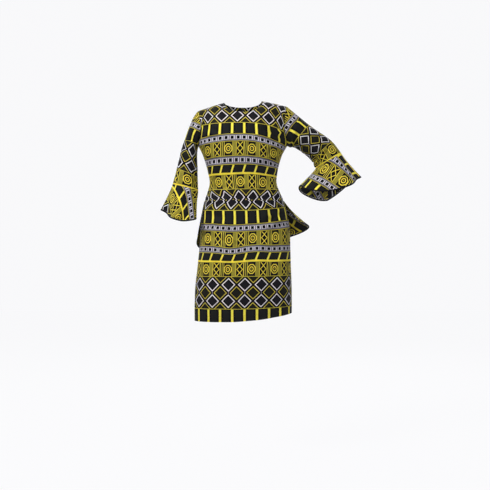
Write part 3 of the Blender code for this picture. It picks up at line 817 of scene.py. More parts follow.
def bell_point(side, seam, turn, down):
    """A point of the bell, at an angle round it, from its seam (0) to its hem (1)."""
    bell = BELLS[side]
    outer = Vector((bell.outer[0], 0, bell.outer[1]))
    inner = Vector((bell.inner[0], 0, bell.inner[1]))
    middle = (outer + inner) / 2
    swing = -SIDE_SIGN[side] * math.sin(turn)
    across = (outer - inner) / 2 * math.cos(turn)
    uneven = 1 + BELL_UNEVEN * (math.sin(2 * turn) - 1)
    wave = math.cos(bell.waves * turn + bell.phase + BELL_LAG * math.sin(turn))
    side_z = middle.z + across.z
    hang = (bell.front_z if swing < 0 else bell.back_z) - middle.z
    behind = swing > 0 and side == "left"
    tuck = BELL_TUCK * max(math.cos(turn), 0.0) if behind else 0.0
    z = side_z + hang * (1 - tuck) * abs(swing) ** BELL_DIP
    out = Vector((math.cos(turn) * math.copysign(1, (outer - inner).x), swing, 0))
    hem = Vector((middle.x + across.x, bell.middle_y + swing * bell.half_depth, z))
    hem += out * bell.wave_depth * uneven * wave
    point = seam.lerp(hem, down)
    early = down - down**BELL_FLARE
    return point - Vector((hem.x - seam.x, hem.y - seam.y, 0)) * early


def bell_rows(side):
    """A bell's rings from seam to hem, the way out at its seam, and its flat map, from the back."""
    ring, ways = sleeve_ring(side, 1.0, BELL_COLUMNS)
    back = BELL_COLUMNS * 3 // 4 if side == "left" else BELL_COLUMNS // 4
    rows = []
    flat = []
    for step in range(BELL_ROWS + 1):
        down = step / BELL_ROWS
        radius = BELL_SEAM_RADIUS + BELL_LENGTH * down
        row = [
            bell_point(side, seam, math.tau * k / BELL_COLUMNS, down) for k, seam in enumerate(ring)
        ]
        rows.append(row[back:] + row[:back])
        places = []
        for c in range(BELL_COLUMNS + 1):
            flat_turn = SIDE_SIGN[side] * (c / BELL_COLUMNS - 0.5) * BELL_FLAT_TURN
            turned = flat_turn - BELL_PRINT_TURN[side]
            depth = radius * math.sin(turned) + BELL_PRINT_SHIFT[side]
            places.append((radius * math.cos(turned), depth))
        flat.append(places)
    return rows, ways[back:] + ways[:back], flat


def peplum_point(round_back, down):
    """A point of the peplum, from the waist seam (0) to its hem (1)."""
    drop = smooth(PEPLUM, "drop", round_back) * down
    stand_off = smooth(PEPLUM, "stand_off", round_back)
    line = ring_half(WAIST - SEAM - drop, "back")
    if round_back < 1 - LOOK_AHEAD:
        point, after = evenly(line, 1, round_back, round_back + LOOK_AHEAD)
        way = after - point
    else:
        before, point = evenly(line, 1, round_back - LOOK_AHEAD, round_back)
        way = point - before
    out = Vector((way.y, -way.x, 0)).normalized()
    phase = PEPLUM_WAVE_PHASE + PEPLUM_UNEVEN * math.sin(PEPLUM_UNEVEN_TURN * round_back)
    wave = math.cos(math.tau * PEPLUM_WAVES * round_back + phase)
    off = PEPLUM_SEAT + stand_off * down**PEPLUM_CURVE * (1 + PEPLUM_WAVE_SHARE * wave * down)
    return lifted(point + out * off)


def peplum_rows(side):
    """Half the peplum's rows from hem to seam, and its flat map."""
    start, middle_share = (0.0, 1.0) if side == "left" else (0.5, 0.0)
    seam_radius = PEPLUM_SEAM / PEPLUM_FLAT_TURN
    rows = []
    flat = []
    for step in range(PEPLUM_ROWS, -1, -1):
        down = step / PEPLUM_ROWS
        row = []
        places = []
        for k in range(PEPLUM_COLUMNS + 1):
            share = k / PEPLUM_COLUMNS
            round_back = start + share / 2
            row.append(peplum_point(round_back, down))
            drop = smooth(PEPLUM, "drop", round_back)
            length = math.hypot(drop, smooth(PEPLUM, "stand_off", round_back))
            radius = seam_radius + length * down
            flat_turn = (share - middle_share) * PEPLUM_FLAT_TURN
            depth = radius * math.cos(flat_turn) - seam_radius + PEPLUM_PRINT_SHIFT[side]
            places.append((radius * math.sin(flat_turn), depth))
        rows.append(row)
        flat.append(places)
    return rows, flat


print("bell hem laid flat:", round((BELL_SEAM_RADIUS + BELL_LENGTH) * BELL_FLAT_TURN, 3), "m")

# %% [markdown]
# A shell is made from a grid of rows: the outer side is the grid itself and the inner side lies a
# cloth's thickness within. Where panels meet, their normals are summed, so both walls turn in side
# by side and neither crosses its neighbour. Edges on a seam are pulled in by a hair, which draws
# the fine dark line of a seam.

# %% Shell tools
CLOTH = 0.0012
SEAM_DIP = 0.0007
SHARP_ANGLE = math.radians(60)


def key(point):
    """A point as a rounded key."""
    return tuple(round(value, 5) for value in point)


def own_normals(rows, closed, shared=None):
    """A grid of unit normals. Where shared holds a point, it gives the normal there."""
    wide = len(rows[0])
    found = [[Vector() for _ in row] for row in rows]
    for i in range(len(rows) - 1):
        for j in range(wide if closed else wide - 1):
            k = (j + 1) % wide
            normal = (rows[i + 1][k] - rows[i][j]).cross(rows[i + 1][j] - rows[i][k])
            for a, b in ((i, j), (i, k), (i + 1, k), (i + 1, j)):
                found[a][b] += normal
    if shared:
        for i, row in enumerate(rows):
            for j, point in enumerate(row):
                found[i][j] = shared.get(key(point), found[i][j])
    return [[normal.normalized() for normal in row] for row in found]


def edge_points(rows, closed):
    """The points on a grid's edges, with their places in it."""
    last = len(rows) - 1
    for i, row in enumerate(rows):
        for j, point in enumerate(row):
            if i in (0, last) or (not closed and j in (0, len(row) - 1)):
                yield i, j, point


def seam_normals(groups):
    """Normals at the panels' edges, summed over the groups of panels that meet there."""
    total = defaultdict(Vector)
    for panels in groups:
        sums = defaultdict(Vector)
        for rows, closed in panels:
            normals = own_normals(rows, closed)
            for i, j, point in edge_points(rows, closed):
                sums[key(point)] = sums[key(point)] + normals[i][j]
        for place, normal in sums.items():
            total[place] = total[place] + normal.normalized()
    return dict(total)


def pulled_in(rows, normals, closed=False, bottom=0.0, top=0.0, first=0.0, last=0.0):
    """Rows whose seam edges are moved in along the cloth, and dipped by a little."""
    rows = copied(rows)

    def move(i, j, towards, by):
        if by:
            rows[i][j] += (towards - rows[i][j]).normalized() * by

    count = len(rows)
    for j in range(len(rows[0])):
        move(0, j, rows[1][j], bottom)
        move(count - 1, j, rows[-2][j], top)
    for i, row in enumerate(rows):
        if not closed:
            move(i, 0, row[1], first)
            move(i, len(row) - 1, row[-2], last)
    for i, j, point in edge_points(rows, closed):
        on_seam = (bottom and i == 0) or (top and i == count - 1)
        on_seam = on_seam or (first and j == 0) or (last and j == len(rows[0]) - 1)
        if on_seam:
            point -= normals[i][j] * SEAM_DIP
    return rows


print("cloth", CLOTH, "m thick")

# %% [markdown]
# The mesh itself is written point by point, because cloth sheets follow their own grid. It gets a
# UV map named Cloth, in metres on the flat cloth, on both sides, because wax print shows on both.

# %% Write a shell


def from_points(name, points, faces):
    """An object in the scene with a mesh of points and faces."""
    mesh = bpy.data.meshes.new(name)
    mesh.from_pydata(points, [], faces)
    piece = bpy.data.objects.new(name, mesh)
    bpy.context.scene.collection.objects.link(piece)
    return piece


def shell(name, rows, flat, normals, thickness=CLOTH, closed=False, lift=0.0):
    """A closed thin wall on a grid, with its map."""
    wide = len(rows[0])
    high = len(rows)
    points = []
    for off in (lift, lift - thickness):
        for row, ways in zip(rows, normals):
            points += [point + way * off for point, way in zip(row, ways)]
    inner = wide * high

    def at(i, j):
        return i * wide + j % wide

    faces = []
    spots = []

    def add(corners, inside):
        """A face whose corners lie on the outer wall (0) or the inner one (1)."""
        faces.append([at(i, j) + inner * side for (i, j), side in zip(corners, inside)])
        spots.extend(flat[i][j] for i, j in corners)

    columns = range(wide if closed else wide - 1)
    for i in range(high - 1):
        for j in columns:
            corners = ((i, j), (i, j + 1), (i + 1, j + 1), (i + 1, j))
            add(corners, (0, 0, 0, 0))
            add(corners[::-1], (1, 1, 1, 1))
        if not closed:
            for j, inside in ((0, (1, 0, 0, 1)), (wide - 1, (0, 1, 1, 0))):
                add(((i, j), (i, j), (i + 1, j), (i + 1, j)), inside)
    for j in columns:
        for i, inside in ((0, (1, 1, 0, 0)), (high - 1, (0, 0, 1, 1))):
            add(((i, j), (i, j + 1), (i, j + 1), (i, j)), inside)
    piece = from_points(name, points, faces)
    layer = piece.data.uv_layers.new(name="Cloth")
    layer.uv.foreach_set("vector", [value for place in spots for value in place])
    piece.data.shade_smooth()
    piece.data.set_sharp_from_angle(angle=SHARP_ANGLE)
    return piece


print("shells have a map named Cloth")

# %% [markdown]
# Wax print is dyed cotton, so its pattern is the colour of the cloth itself. Here it is worked out
# from the map by arithmetic. A small class wraps a socket, so that plus, minus and times between
# two of them add the math nodes, and one method adds a node of any other kind.

# %% A number in a material


class Value:
    """A socket of a material's tree. Arithmetic on it adds math nodes."""

    def __init__(self, tree, socket):
        self.tree = tree
        self.socket = socket

    def make(self, kind, settings, inputs, output=0):
        """Adds a node of some kind, sets it, joins its inputs and gives one of its outputs."""
        node = self.tree.nodes.new(kind)
        for name, value in settings.items():
            setattr(node, name, value)
        for place, value in inputs.items():
            if isinstance(value, Value):
                self.tree.links.new(value.socket, node.inputs[place])
            else:
                node.inputs[place].default_value = value
        return Value(self.tree, node.outputs[output])

    def math(self, operation, *others, clamp=False):
        """One math node on this and other numbers."""
        inputs = dict(enumerate((self, *others)))
        return self.make("ShaderNodeMath", {"operation": operation, "use_clamp": clamp}, inputs)

    def __add__(self, other):
        return self.math("ADD", other)

    __radd__ = __add__

    def __sub__(self, other):
        return self.math("SUBTRACT", other)

    def __rsub__(self, other):
        return self.math("MULTIPLY_ADD", -1.0, other)

    def __mul__(self, other):
        return self.math("MULTIPLY", other)

    __rmul__ = __mul__

    def __truediv__(self, other):
        return self.math("DIVIDE", other)

    def __abs__(self):
        return self.math("ABSOLUTE")


def linear(red, green, blue):
    """A colour as seen on a screen, from 0 to 255, as the light it stands for."""
    found = []
    for value in (red, green, blue):
        part = value / 255
        found.append(part / 12.92 if part <= 0.04045 else ((part + 0.055) / 1.055) ** 2.4)
    return (*found, 1.0)


print("mid grey is", round(linear(128, 128, 128)[0], 3), "of the light")

# %% [markdown]
# The cloth repeats every 404 mm down its length: squares between bright bars, a white ladder, a
# row of rings and crosses, a second ladder, slanted squares, a thick yellow line, rings and
# crosses again, and a field of diamonds. Each motif is a distance from a line or a shape, in
# millimetres, and ink is laid where the distance is below nought.

# %% Inks
MILLIMETRES = 1000.0
REPEAT = MILLIMETRES * PRINT_LENGTH
INK_EDGE = 0.55
NAVY = linear(5, 5, 11)
CHARCOAL = linear(21, 22, 23)
PLUM = linear(18, 16, 23)
OLIVE = linear(21, 21, 14)
BRIGHT = linear(255, 240, 84)
YELLOW = linear(252, 230, 72)
LINE_YELLOW = linear(222, 206, 74)
WHITE = linear(240, 237, 243)
STRIP_WHITE = linear(216, 212, 224)
LILAC = linear(150, 144, 168)


def ink(distance):
    """1 where a distance is below nought, 0 above, with a slightly bled edge."""
    return (distance / -INK_EDGE).math("ADD", 0.5, clamp=True)


def nearest(value, pitch):
    """How far a place is past the nearest of evenly spaced lines."""
    return (value + pitch / 2).math("FLOORED_MODULO", pitch) - pitch / 2


def band(down, low, high):
    """1 between two depths in the repeat."""
    return ink(abs(down - (low + high) / 2) - (high - low) / 2)


def paint(colour, mask, dye):
    """Lays a dye over a colour where the mask is 1."""
    inputs = {0: mask, 6: colour, 7: dye}
    return mask.make("ShaderNodeMix", {"data_type": "RGBA"}, inputs, 2)


print("the repeat is", REPEAT, "mm long")

# %% [markdown]
# Two bands have dark squares between bright bars, and in the second one the bars lean. One function
# draws both, from a row of sizes: where the band starts and stops, its middle, how far apart the
# bars stand and lean, how much room they leave, half the squares' height and half a bar's width.
# A ladder is a white strip with black squares and rungs.

# %% Squares and ladders
Bars = namedtuple("Bars", "low high middle pitch lean room half_height half_bar")
SQUARES = Bars(0.5, 52.0, 26.5, 50.5, 0.0, 13.0, 23.0, 4.9)
SLANTED = Bars(174.0, 204.0, 189.0, 48.0, 0.35, 8.6, 12.4, 3.9)
LADDER_PITCH = 24.5
LADDER_HALF = 11.5
STRIP_HALF = 8.4
STRIP_EDGE = 8.9
STRIP_EDGE_HALF = 0.9
LADDER_SQUARE = 6.1
RUNG_HALF = 1.6
RUNG_HALF_LENGTH = 7.0


def barred(colour, across, down, bars):
    """Charcoal squares between bright bars."""
    inside = band(down, bars.low, bars.high)
    away = down - bars.middle
    bar = abs(nearest(across + away * bars.lean, bars.pitch))
    square = ink(bars.room - bar) * ink(abs(away) - bars.half_height)
    colour = paint(colour, square * inside, CHARCOAL)
    return paint(colour, ink(bar - bars.half_bar) * inside, BRIGHT)


def ladder(colour, across, down, middle):
    """A white strip with black squares, thin black rungs between them and lilac edges."""
    away = abs(down - middle)
    rung = abs(nearest(across - LADDER_PITCH / 2, LADDER_PITCH))
    square = abs(nearest(across, LADDER_PITCH))
    colour = paint(colour, ink(away - LADDER_HALF), LILAC)
    colour = paint(colour, ink(away - STRIP_HALF), STRIP_WHITE)
    colour = paint(colour, ink(abs(away - STRIP_EDGE) - STRIP_EDGE_HALF), NAVY)
    black = ink(square.math("MAXIMUM", away) - LADDER_SQUARE)
    black = black.math("MAXIMUM", ink(rung - RUNG_HALF) * ink(away - RUNG_HALF_LENGTH))
    return paint(colour, black, NAVY)


print("bars stand", SQUARES.pitch, "and", SLANTED.pitch, "mm apart")

# %% [markdown]
# Rings and crosses stand by turns, with upright stripes between them. A ring is an octagon round a
# circle round a dot. A cross is a zigzag and its mirror image, between two posts.

# %% Rings and crosses
MOTIF_PITCH = 48.0
MOTIF_MARGIN = 1.0
RING_SQUASH = 0.82
OCTAGON_CORNER = 0.72
OCTAGON_RADIUS = 14.6
CIRCLE_RADIUS = 7.2
RING_HALF_LINE = 1.5
DOT_RADIUS = 1.2
CROSS_REACH = 13.6
CROSS_SLOPE = 0.85
CROSS_THINNING = 0.76
CROSS_HALF_LINE = 1.35
POST_AWAY = 15.4
POST_HALF_LINE = 0.8
WIDE_STRIPES = (7.2, 1.1)
FINE_STRIPES = (3.5, 0.75)
STRIPES_HALF = 8.6


def rings_and_crosses(colour, across, down, low, high):
    """Ringed octagons and crosses by turns, with thin upright stripes between them."""
    side = abs(nearest(across, MOTIF_PITCH))
    away = abs(down - (low + high) / 2)
    tall = away * RING_SQUASH
    is_cross = ink(MOTIF_PITCH / 2 - abs(nearest(across, 2 * MOTIF_PITCH)))
    octagon = side.math("MAXIMUM", tall).math("MAXIMUM", (side + tall) * OCTAGON_CORNER)
    circle = (side * side + tall * tall).math("SQRT")
    rings = ink(abs(octagon - OCTAGON_RADIUS) - RING_HALF_LINE)
    rings = rings.math("MAXIMUM", ink(abs(circle - CIRCLE_RADIUS) - RING_HALF_LINE))
    rings = rings.math("MAXIMUM", ink(circle - DOT_RADIUS))
    zigzag = abs(side - abs(away - CROSS_REACH) * CROSS_SLOPE) * CROSS_THINNING
    cross = ink(zigzag - CROSS_HALF_LINE)
    cross = cross.math("MAXIMUM", ink(abs(side - POST_AWAY) - POST_HALF_LINE))
    motif = rings * (1.0 - is_cross) + cross * is_cross
    motif = motif * ink(away - (high - low) / 2 + MOTIF_MARGIN)
    gap = abs(nearest(across - MOTIF_PITCH / 2, MOTIF_PITCH))
    dense = ink(abs(nearest(across - MOTIF_PITCH / 2, 2 * MOTIF_PITCH)) - MOTIF_PITCH / 2)
    wide, fine = (
        ink(abs(nearest(gap, pitch)) - half) for pitch, half in (WIDE_STRIPES, FINE_STRIPES)
    )
    stripes = (wide * (1.0 - dense) + fine * dense) * ink(gap - STRIPES_HALF)
    colour = paint(colour, stripes * band(down, low, high), LINE_YELLOW)
    return paint(colour, motif, YELLOW)


print("rings stand", 2 * MOTIF_PITCH, "mm apart")

# %% [markdown]
# White diamonds stand in two rows, with yellow ones between them that the band's edges cut to
# triangles. The sum of the distances across and down from a middle is the same all along a
# diamond's edge, so it draws both the outline and the filling.

# %% Diamonds
DIAMOND_BAND = (270.0, 402.0)
DIAMOND_MIDDLE = 336.3
DIAMOND_PITCH = 67.0
DIAMOND_EDGE = 25.6
DIAMOND_FILLING = 17.5
DIAGONAL = 0.707
LINK_HALF_WIDTH = 0.9
LINK_HALF_LENGTH = 7.5
Diamond = namedtuple("Diamond", "shift dye filling half_line")
DIAMONDS = (
    Diamond(0.0, WHITE, PLUM, 1.75),
    Diamond(DIAMOND_PITCH / 2, LINE_YELLOW, OLIVE, 1.3),
)


def diamonds(colour, across, down):
    """White diamonds in two rows, yellow ones between them, and short links."""
    inside = band(down, *DIAMOND_BAND)
    away = down - DIAMOND_MIDDLE
    for kind in DIAMONDS:
        row = abs(nearest(away - (DIAMOND_PITCH / 2 - kind.shift), DIAMOND_PITCH))
        spread = abs(nearest(across - kind.shift, DIAMOND_PITCH)) + row
        filling = ink((spread - DIAMOND_FILLING) * DIAGONAL) * inside
        colour = paint(colour, filling, kind.filling)
        edge = ink(abs(spread - DIAMOND_EDGE) * DIAGONAL - kind.half_line) * inside
        colour = paint(colour, edge, kind.dye)
    upright = ink(abs(nearest(across, DIAMOND_PITCH)) - LINK_HALF_WIDTH)
    return paint(colour, upright * ink(abs(away) - LINK_HALF_LENGTH), LILAC)


print("diamonds stand", DIAMOND_PITCH, "mm apart")

# %% [markdown]
# All bands are laid on one ground colour, then the thin yellow lines and the thick one. Real wax
# print is a little uneven: the dye bleeds, so two slow noises move every line by up to a
# millimetre. Threads show as a fine bump.

# %% The print material
MOTIF_START = 6.0
THIN_LINES = (54.5, 84.0, 142.5, 171.8, 269.3, 402.6)
THIN_HALF = 1.0
THICK_LINE = (203.3, 211.3)
LADDERS = (69.5, 158.0)
LADDER_LAG = 6.0
UPPER_MOTIFS = (86.0, 141.0)
LOWER_MOTIFS = (212.0, 268.0)
# Skirt, bodice and sleeves are cut from other places across the cloth, in that order.
UPPER_SHIFT = (25.0, 32.0, 0.0)
SLANTED_SHIFT = (-3.0, 0.0, 0.0)
LOWER_SHIFT = (-72.0, -17.0, -48.0)
DIAMOND_SHIFT = (0.0, 38.0, 34.0)
BLEED = 0.9
BLEED_SCALE = 90.0
SWAY = 2.0
SWAY_SCALE = 22.0
WARP_PITCH = 0.55
WEFT_PITCH = 0.62
THREAD_HEIGHT = 0.00003
SLUB_HEIGHT = 0.0035
SLUB_SCALE = 16.0
BUMP_STRENGTH = 0.5


def noise(place, scale, detail):
    """A soft noise on a place."""
    inputs = {"Vector": place, "Scale": scale, "Detail": detail}
    return place.make("ShaderNodeTexNoise", {}, inputs)


def bumped(shader, height, distance):
    """Joins a height to a shader's normal."""
    inputs = {"Height": height, "Distance": distance, "Strength": BUMP_STRENGTH}
    bump = height.make("ShaderNodeBump", {}, inputs)
    height.tree.links.new(bump.socket, shader.inputs["Normal"])


def cloth_print(name):
    """Printed cotton, coloured by the map of each piece."""
    made, shader = new_material(name, {"Roughness": 0.66, "Specular IOR Level": 0.14})
    tree = made.node_tree
    place = Value(tree, None).make("ShaderNodeUVMap", {"uv_map": "Cloth"}, {})
    split = place.make("ShaderNodeSeparateXYZ", {}, {0: place})
    across = Value(tree, split.socket.node.outputs["X"]) * MILLIMETRES
    down = Value(tree, split.socket.node.outputs["Y"]) * MILLIMETRES
    bleed = noise(place, BLEED_SCALE, 2.0) - 0.5
    sway = (noise(place, SWAY_SCALE, 1.0) - 0.5) * SWAY
    across = across - MOTIF_START + bleed * BLEED + sway
    down = down + bleed * -BLEED + sway
    repeat = down.math("FLOORED_MODULO", REPEAT)
    on_bodice = down.math("GREATER_THAN", REPEAT * (BODICE_REPEATS - 2))
    on_sleeve = down.math("GREATER_THAN", REPEAT * (SLEEVE_REPEATS - 2))

    def shifted(skirt, bodice, sleeve):
        """The place across, moved by the shift of the part that it is on."""
        return across - (on_bodice * (bodice - skirt) + on_sleeve * (sleeve - bodice) + skirt)

    colour = barred(NAVY, across, repeat, SQUARES)
    colour = ladder(colour, across, repeat, LADDERS[0])
    colour = rings_and_crosses(colour, shifted(*UPPER_SHIFT), repeat, *UPPER_MOTIFS)
    colour = ladder(colour, across + LADDER_LAG, repeat, LADDERS[1])
    colour = barred(colour, shifted(*SLANTED_SHIFT), repeat, SLANTED)
    colour = rings_and_crosses(colour, shifted(*LOWER_SHIFT), repeat, *LOWER_MOTIFS)
    colour = diamonds(colour, shifted(*DIAMOND_SHIFT), repeat)
    for middle in THIN_LINES:
        colour = paint(colour, ink(abs(repeat - middle) - THIN_HALF), LINE_YELLOW)
    colour = paint(colour, band(repeat, *THICK_LINE), YELLOW)
    tree.links.new(colour.socket, shader.inputs["Base Color"])
    warp = (across * (math.tau / WARP_PITCH)).math("SINE")
    weft = (down * (math.tau / WEFT_PITCH)).math("SINE")
    slubs = noise(place, SLUB_SCALE, 3.0) * SLUB_HEIGHT
    bumped(shader, warp * weft * THREAD_HEIGHT + slubs, 1.0)
    return made


PRINT = cloth_print("wax_print")
print("print nodes:", len(PRINT.node_tree.nodes))

# %% [markdown]
# The bindings and the zip's tape are plain black. Their weave is only a fine bump. The zip's metal
# is brassy and slightly worn.

# %% Trim materials
WEAVE_HEIGHT = 0.0002
WEAVE_SCALE = 900.0
WEAR = 0.22
WEAR_SCALE = 400.0
METAL_ROUGHNESS = 0.2


def placed(made):
    """The place on an object that a material colours."""
    return Value(made.node_tree, None).make("ShaderNodeTexCoord", {}, {}, "Object")


def plain_cloth(name, colour):
    """Plain woven cloth with a fine bump."""
    settings = {"Base Color": colour, "Roughness": 0.75, "Specular IOR Level": 0.12}
    made, shader = new_material(name, settings)
    bumped(shader, noise(placed(made), WEAVE_SCALE, 2.0), WEAVE_HEIGHT)
    return made


def worn_metal(name, colour):
    """Metal whose roughness varies a little."""
    made, shader = new_material(name, {"Base Color": colour, "Metallic": 1.0})
    rough = noise(placed(made), WEAR_SCALE, 3.0) * WEAR + METAL_ROUGHNESS
    made.node_tree.links.new(rough.socket, shader.inputs["Roughness"])
    return made


BLACK = plain_cloth("black_cotton", linear(17, 17, 19))
TAPE = plain_cloth("zip_tape_weave", linear(30, 30, 32))
BRASS = worn_metal("zip_brass", linear(176, 150, 92))
print("trims:", BLACK.name, TAPE.name, BRASS.name)

# %% [markdown]
# Every piece rides with the dress and takes its material, and most stand for a imported solid.
# A piece of cloth also prints the size it was cut to. The size and the area come from the map,
# which is the flat cloth; the area is worked out but not used.

# %% Dress a piece


def dress(piece, surface, node=None):
    """Gives a piece its surface, lets it ride with the dress, and may let it stand for a solid."""
    piece.data.materials.append(surface)
    if node:
        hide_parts(node)
    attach(piece, BODY)
    return piece


def cut_size(flat):
    """The width, length and area of a piece as it lay flat."""
    places = [place for row in flat for place in row]
    wide = max(x for x, _ in places) - min(x for x, _ in places)
    long = max(y for _, y in places) - min(y for _, y in places)
    area = 0.0
    for low, high in zip(flat, flat[1:]):
        for k in range(len(low) - 1):
            a, b, c, d = low[k], low[k + 1], high[k + 1], high[k]
            area += abs((c[0] - a[0]) * (d[1] - b[1]) - (c[1] - a[1]) * (d[0] - b[0])) / 2
    return wide, long, area


def cloth_piece(node, rows, flat, normals, closed=False, rests=()):
    """A shell that stands for a packed cloth node."""
    piece = shell("cloth_" + node, rows, flat, normals, closed=closed)
    dress(piece, PRINT, node)
    wide, long, area = cut_size(flat)
    area = min(area, wide * long)
    print(piece.name, "cut", round(wide, 3), "by", round(long, 3), "m")


print("pieces are named after their nodes")

# %% [markdown]
# First the body: front and back bodice, front and back skirt. Each back is cut in two at the zip,
# so its middle edges open by the zip's width, over a few columns, so that the cloth isn't crushed.

# %% Body panels
ZIP_WIDTH = 0.006
ZIP_END = -0.53
ZIP_CLOSE = 0.03
OPEN_COLUMNS = 7
CREASE_COLUMNS = 8


def bodice_grid(face):
    """A bodice's rows and its flat map."""
    rings = [evenly(ring_half(z, face), ACROSS) for z in heights(WAIST, UNDERARM, BODICE_ROWS)]
    rows = eased(rings + yoke_rows(face))
    flat = body_map(rows, BODICE_PRINT_TOP + BODICE_REPEATS * PRINT_LENGTH, len(rings))
    for i, row in enumerate(rows):
        for j, point in enumerate(row):
            near_edge = min(j, ACROSS - j) / CREASE_COLUMNS if i >= len(rings) else 1.0
            row[j] = point.lerp(creased(point, face), min(near_edge, 1.0))
    return rows, flat


def skirt_grid(face):
    """A skirt's rows and its flat map."""
    rows = [evenly(ring_half(z, face), ACROSS) for z in heights(HEM, WAIST, SKIRT_ROWS)]
    print_rows = [[point.lerp(lifted(point), PRINT_LIFT) for point in row] for row in rows]
    flat = body_map(print_rows, SKIRT_PRINT_TOP, len(rows))
    return [[lifted(creased(point, face)) for point in row] for row in rows], flat


def opened(rows, amounts, at_end):
    """Rows whose first or last columns make way by the given amounts."""
    rows = copied(rows)
    for row, amount in zip(rows, amounts):
        order = row[::-1] if at_end else row
        way = (order[1] - order[0]).normalized()
        for k in range(OPEN_COLUMNS):
            order[k] += way * amount * (1 - k / OPEN_COLUMNS)
    return rows


bodice_front, bodice_front_map = bodice_grid("front")
bodice_back, bodice_back_map = bodice_grid("back")
skirt_front, skirt_front_map = skirt_grid("front")
skirt_back, skirt_back_map = skirt_grid("back")
sleeve_grids = {side: sleeve_rows(side) for side in SLEEVES}
body_grids = [(rows, False) for rows in (bodice_front, bodice_back, skirt_front, skirt_back)]
SHARED = seam_normals([body_grids] + [[(rows, True)] for rows, _, _ in sleeve_grids.values()])


def body_panel(node, rows, flat, rests=(), **edges):
    """One panel of the body, pulled in by a hair at its seams."""
    normals = own_normals(rows, False, SHARED)
    cloth_piece(node, pulled_in(rows, normals, **edges), flat, normals, rests=rests)


half_zip = ZIP_WIDTH / 2 + SEAM
middle = ACROSS // 2
ends = {"bottom": HALF_SEAM, "top": HALF_SEAM}
sides = {"first": HALF_SEAM, "last": HALF_SEAM}
body_panel("front_bodice", bodice_front, bodice_front_map, **sides, **ends)
rests = ["cloth_front_bodice"]
body_panel("front_skirt", skirt_front, skirt_front_map, rests, top=HALF_SEAM, **sides)
bodice_open = [half_zip] * len(bodice_back)
skirt_open = []
for row in skirt_back:
    share = held((row[middle].z - ZIP_END) / ZIP_CLOSE)
    skirt_open.append(HALF_SEAM + (half_zip - HALF_SEAM) * share)


def back_panel(part, side, rows, flat, amounts, **edges):
    """One half of a back, opened for the zip along the middle."""
    left = side == "left"
    span = slice(None, middle + 1) if left else slice(middle, None)
    half = opened([row[span] for row in rows], amounts, left)
    half_map = [row[span] for row in flat]
    rests = ["cloth_back_bodice_" + side] if part == "skirt" else []
    outer = {"first": HALF_SEAM} if left else {"last": HALF_SEAM}
    body_panel("back_" + part + "_" + side, half, half_map, rests, **outer, **edges)


for side in ("left", "right"):
    back_panel("bodice", side, bodice_back, bodice_back_map, bodice_open, **ends)
    back_panel("skirt", side, skirt_back, skirt_back_map, skirt_open, top=HALF_SEAM)

# %% [markdown]
# The sleeves are sewn into the armholes and the bells onto the sleeves. A bell's first ring takes
# its normals from the sleeve's last one, so the two run on into each other at the seam.

# %% Sleeves and bells
SLEEVE_EASE = 0.00035

for side, (rows, ways, flat) in sleeve_grids.items():
    normals = own_normals(rows, True, SHARED)
    normals[-1] = ways
    cut = pulled_in(rows, normals, closed=True, bottom=SLEEVE_EASE, top=HALF_SEAM)
    rests = ["cloth_front_bodice", "cloth_back_bodice_" + side]
    cloth_piece("sleeve_" + side, cut, flat, normals, True, rests)

bell_grids = {}
for side in BELLS:
    rows, ways, flat = bell_rows(side)
    normals = own_normals(rows, True)
    normals[0] = ways
    cut = pulled_in(rows, normals, closed=True, bottom=HALF_SEAM)
    cloth_piece("cuff_flounce_" + side, cut, flat, normals, True, ["cloth_sleeve_" + side])
    bell_grids[side] = (rows, normals)

# %% [markdown]
# The peplum is sewn into the waist seam at the back, in two halves that meet under the zip.

# %% Peplum
peplum_grids = {}
for side in ("left", "right"):
    rows, flat = peplum_rows(side)
    rows = opened(rows, [PEPLUM_SPLIT] * len(rows), side == "left")
    normals = own_normals(rows, False)
    rests = ["cloth_back_bodice_" + side]
    cloth_piece("peplum_" + side, rows, flat, normals, rests=rests)
    peplum_grids[side] = (rows, normals)

# %% [markdown]
# A binding is a strip of black cotton folded over the raw hem. It is built as a flat tube that
# follows the hem a few millimetres beyond it.

# %% Bindings
BINDING_SIDES = 12
BINDING_ROUND = 0.6


def tube(name, loops, closed):
    """A skin over a row of loops, with caps where it isn't closed."""
    around = len(loops[0])
    points = [point for loop in loops for point in loop]
    faces = []
    spans = len(loops) if closed else len(loops) - 1
    for i in range(spans):
        after = (i + 1) % len(loops)
        for j in range(around):
            k = (j + 1) % around
            faces.append((i * around + j, i * around + k, after * around + k, after * around + j))
    if not closed:
        faces.append(tuple(range(around))[::-1])
        faces.append(tuple(range((len(loops) - 1) * around, len(loops) * around)))
    piece = from_points(name, points, faces)
    piece.data.shade_smooth()
    return piece


def binding(node, hem, before, normals, closed):
    """The folded strip round a hem."""
    loops = []
    for k, (a, b) in enumerate(zip(hem, before)):
        way = (a - b).normalized()
        middle_point = a + way * (SEAM + BINDING) / 2 - normals[k] * CLOTH / 2
        loop = []
        for step in range(BINDING_SIDES):
            turn = math.tau * step / BINDING_SIDES
            long_way = way * math.cos(turn) * (BINDING - SEAM) / 2
            bulge = math.copysign(abs(math.sin(turn)) ** BINDING_ROUND, math.sin(turn))
            loop.append(middle_point + long_way + normals[k] * bulge * BINDING_WALL / 2)
        loops.append(loop)
    piece = dress(tube("trim_" + node, loops, closed), BLACK, node)
    print(piece.name, "about", round(reaches(hem)[-1], 3), "m long")


for side in BELLS:
    rows, normals = bell_grids[side]
    binding("cuff_binding_" + side, rows[-1], rows[-2], normals[-1], True)
for side in ("left", "right"):
    rows, normals = peplum_grids[side]
    binding("peplum_binding_" + side, rows[0], rows[1], normals[0], False)

# %% [markdown]
# The neck and the hem are turned in and stitched, and a stitched line runs down both sides of the
# zip. A stitch shows as a short thread that dips into the cloth at both ends. One is modelled from
# a ball, drawn out long and bent down at its ends, and copied along each line.

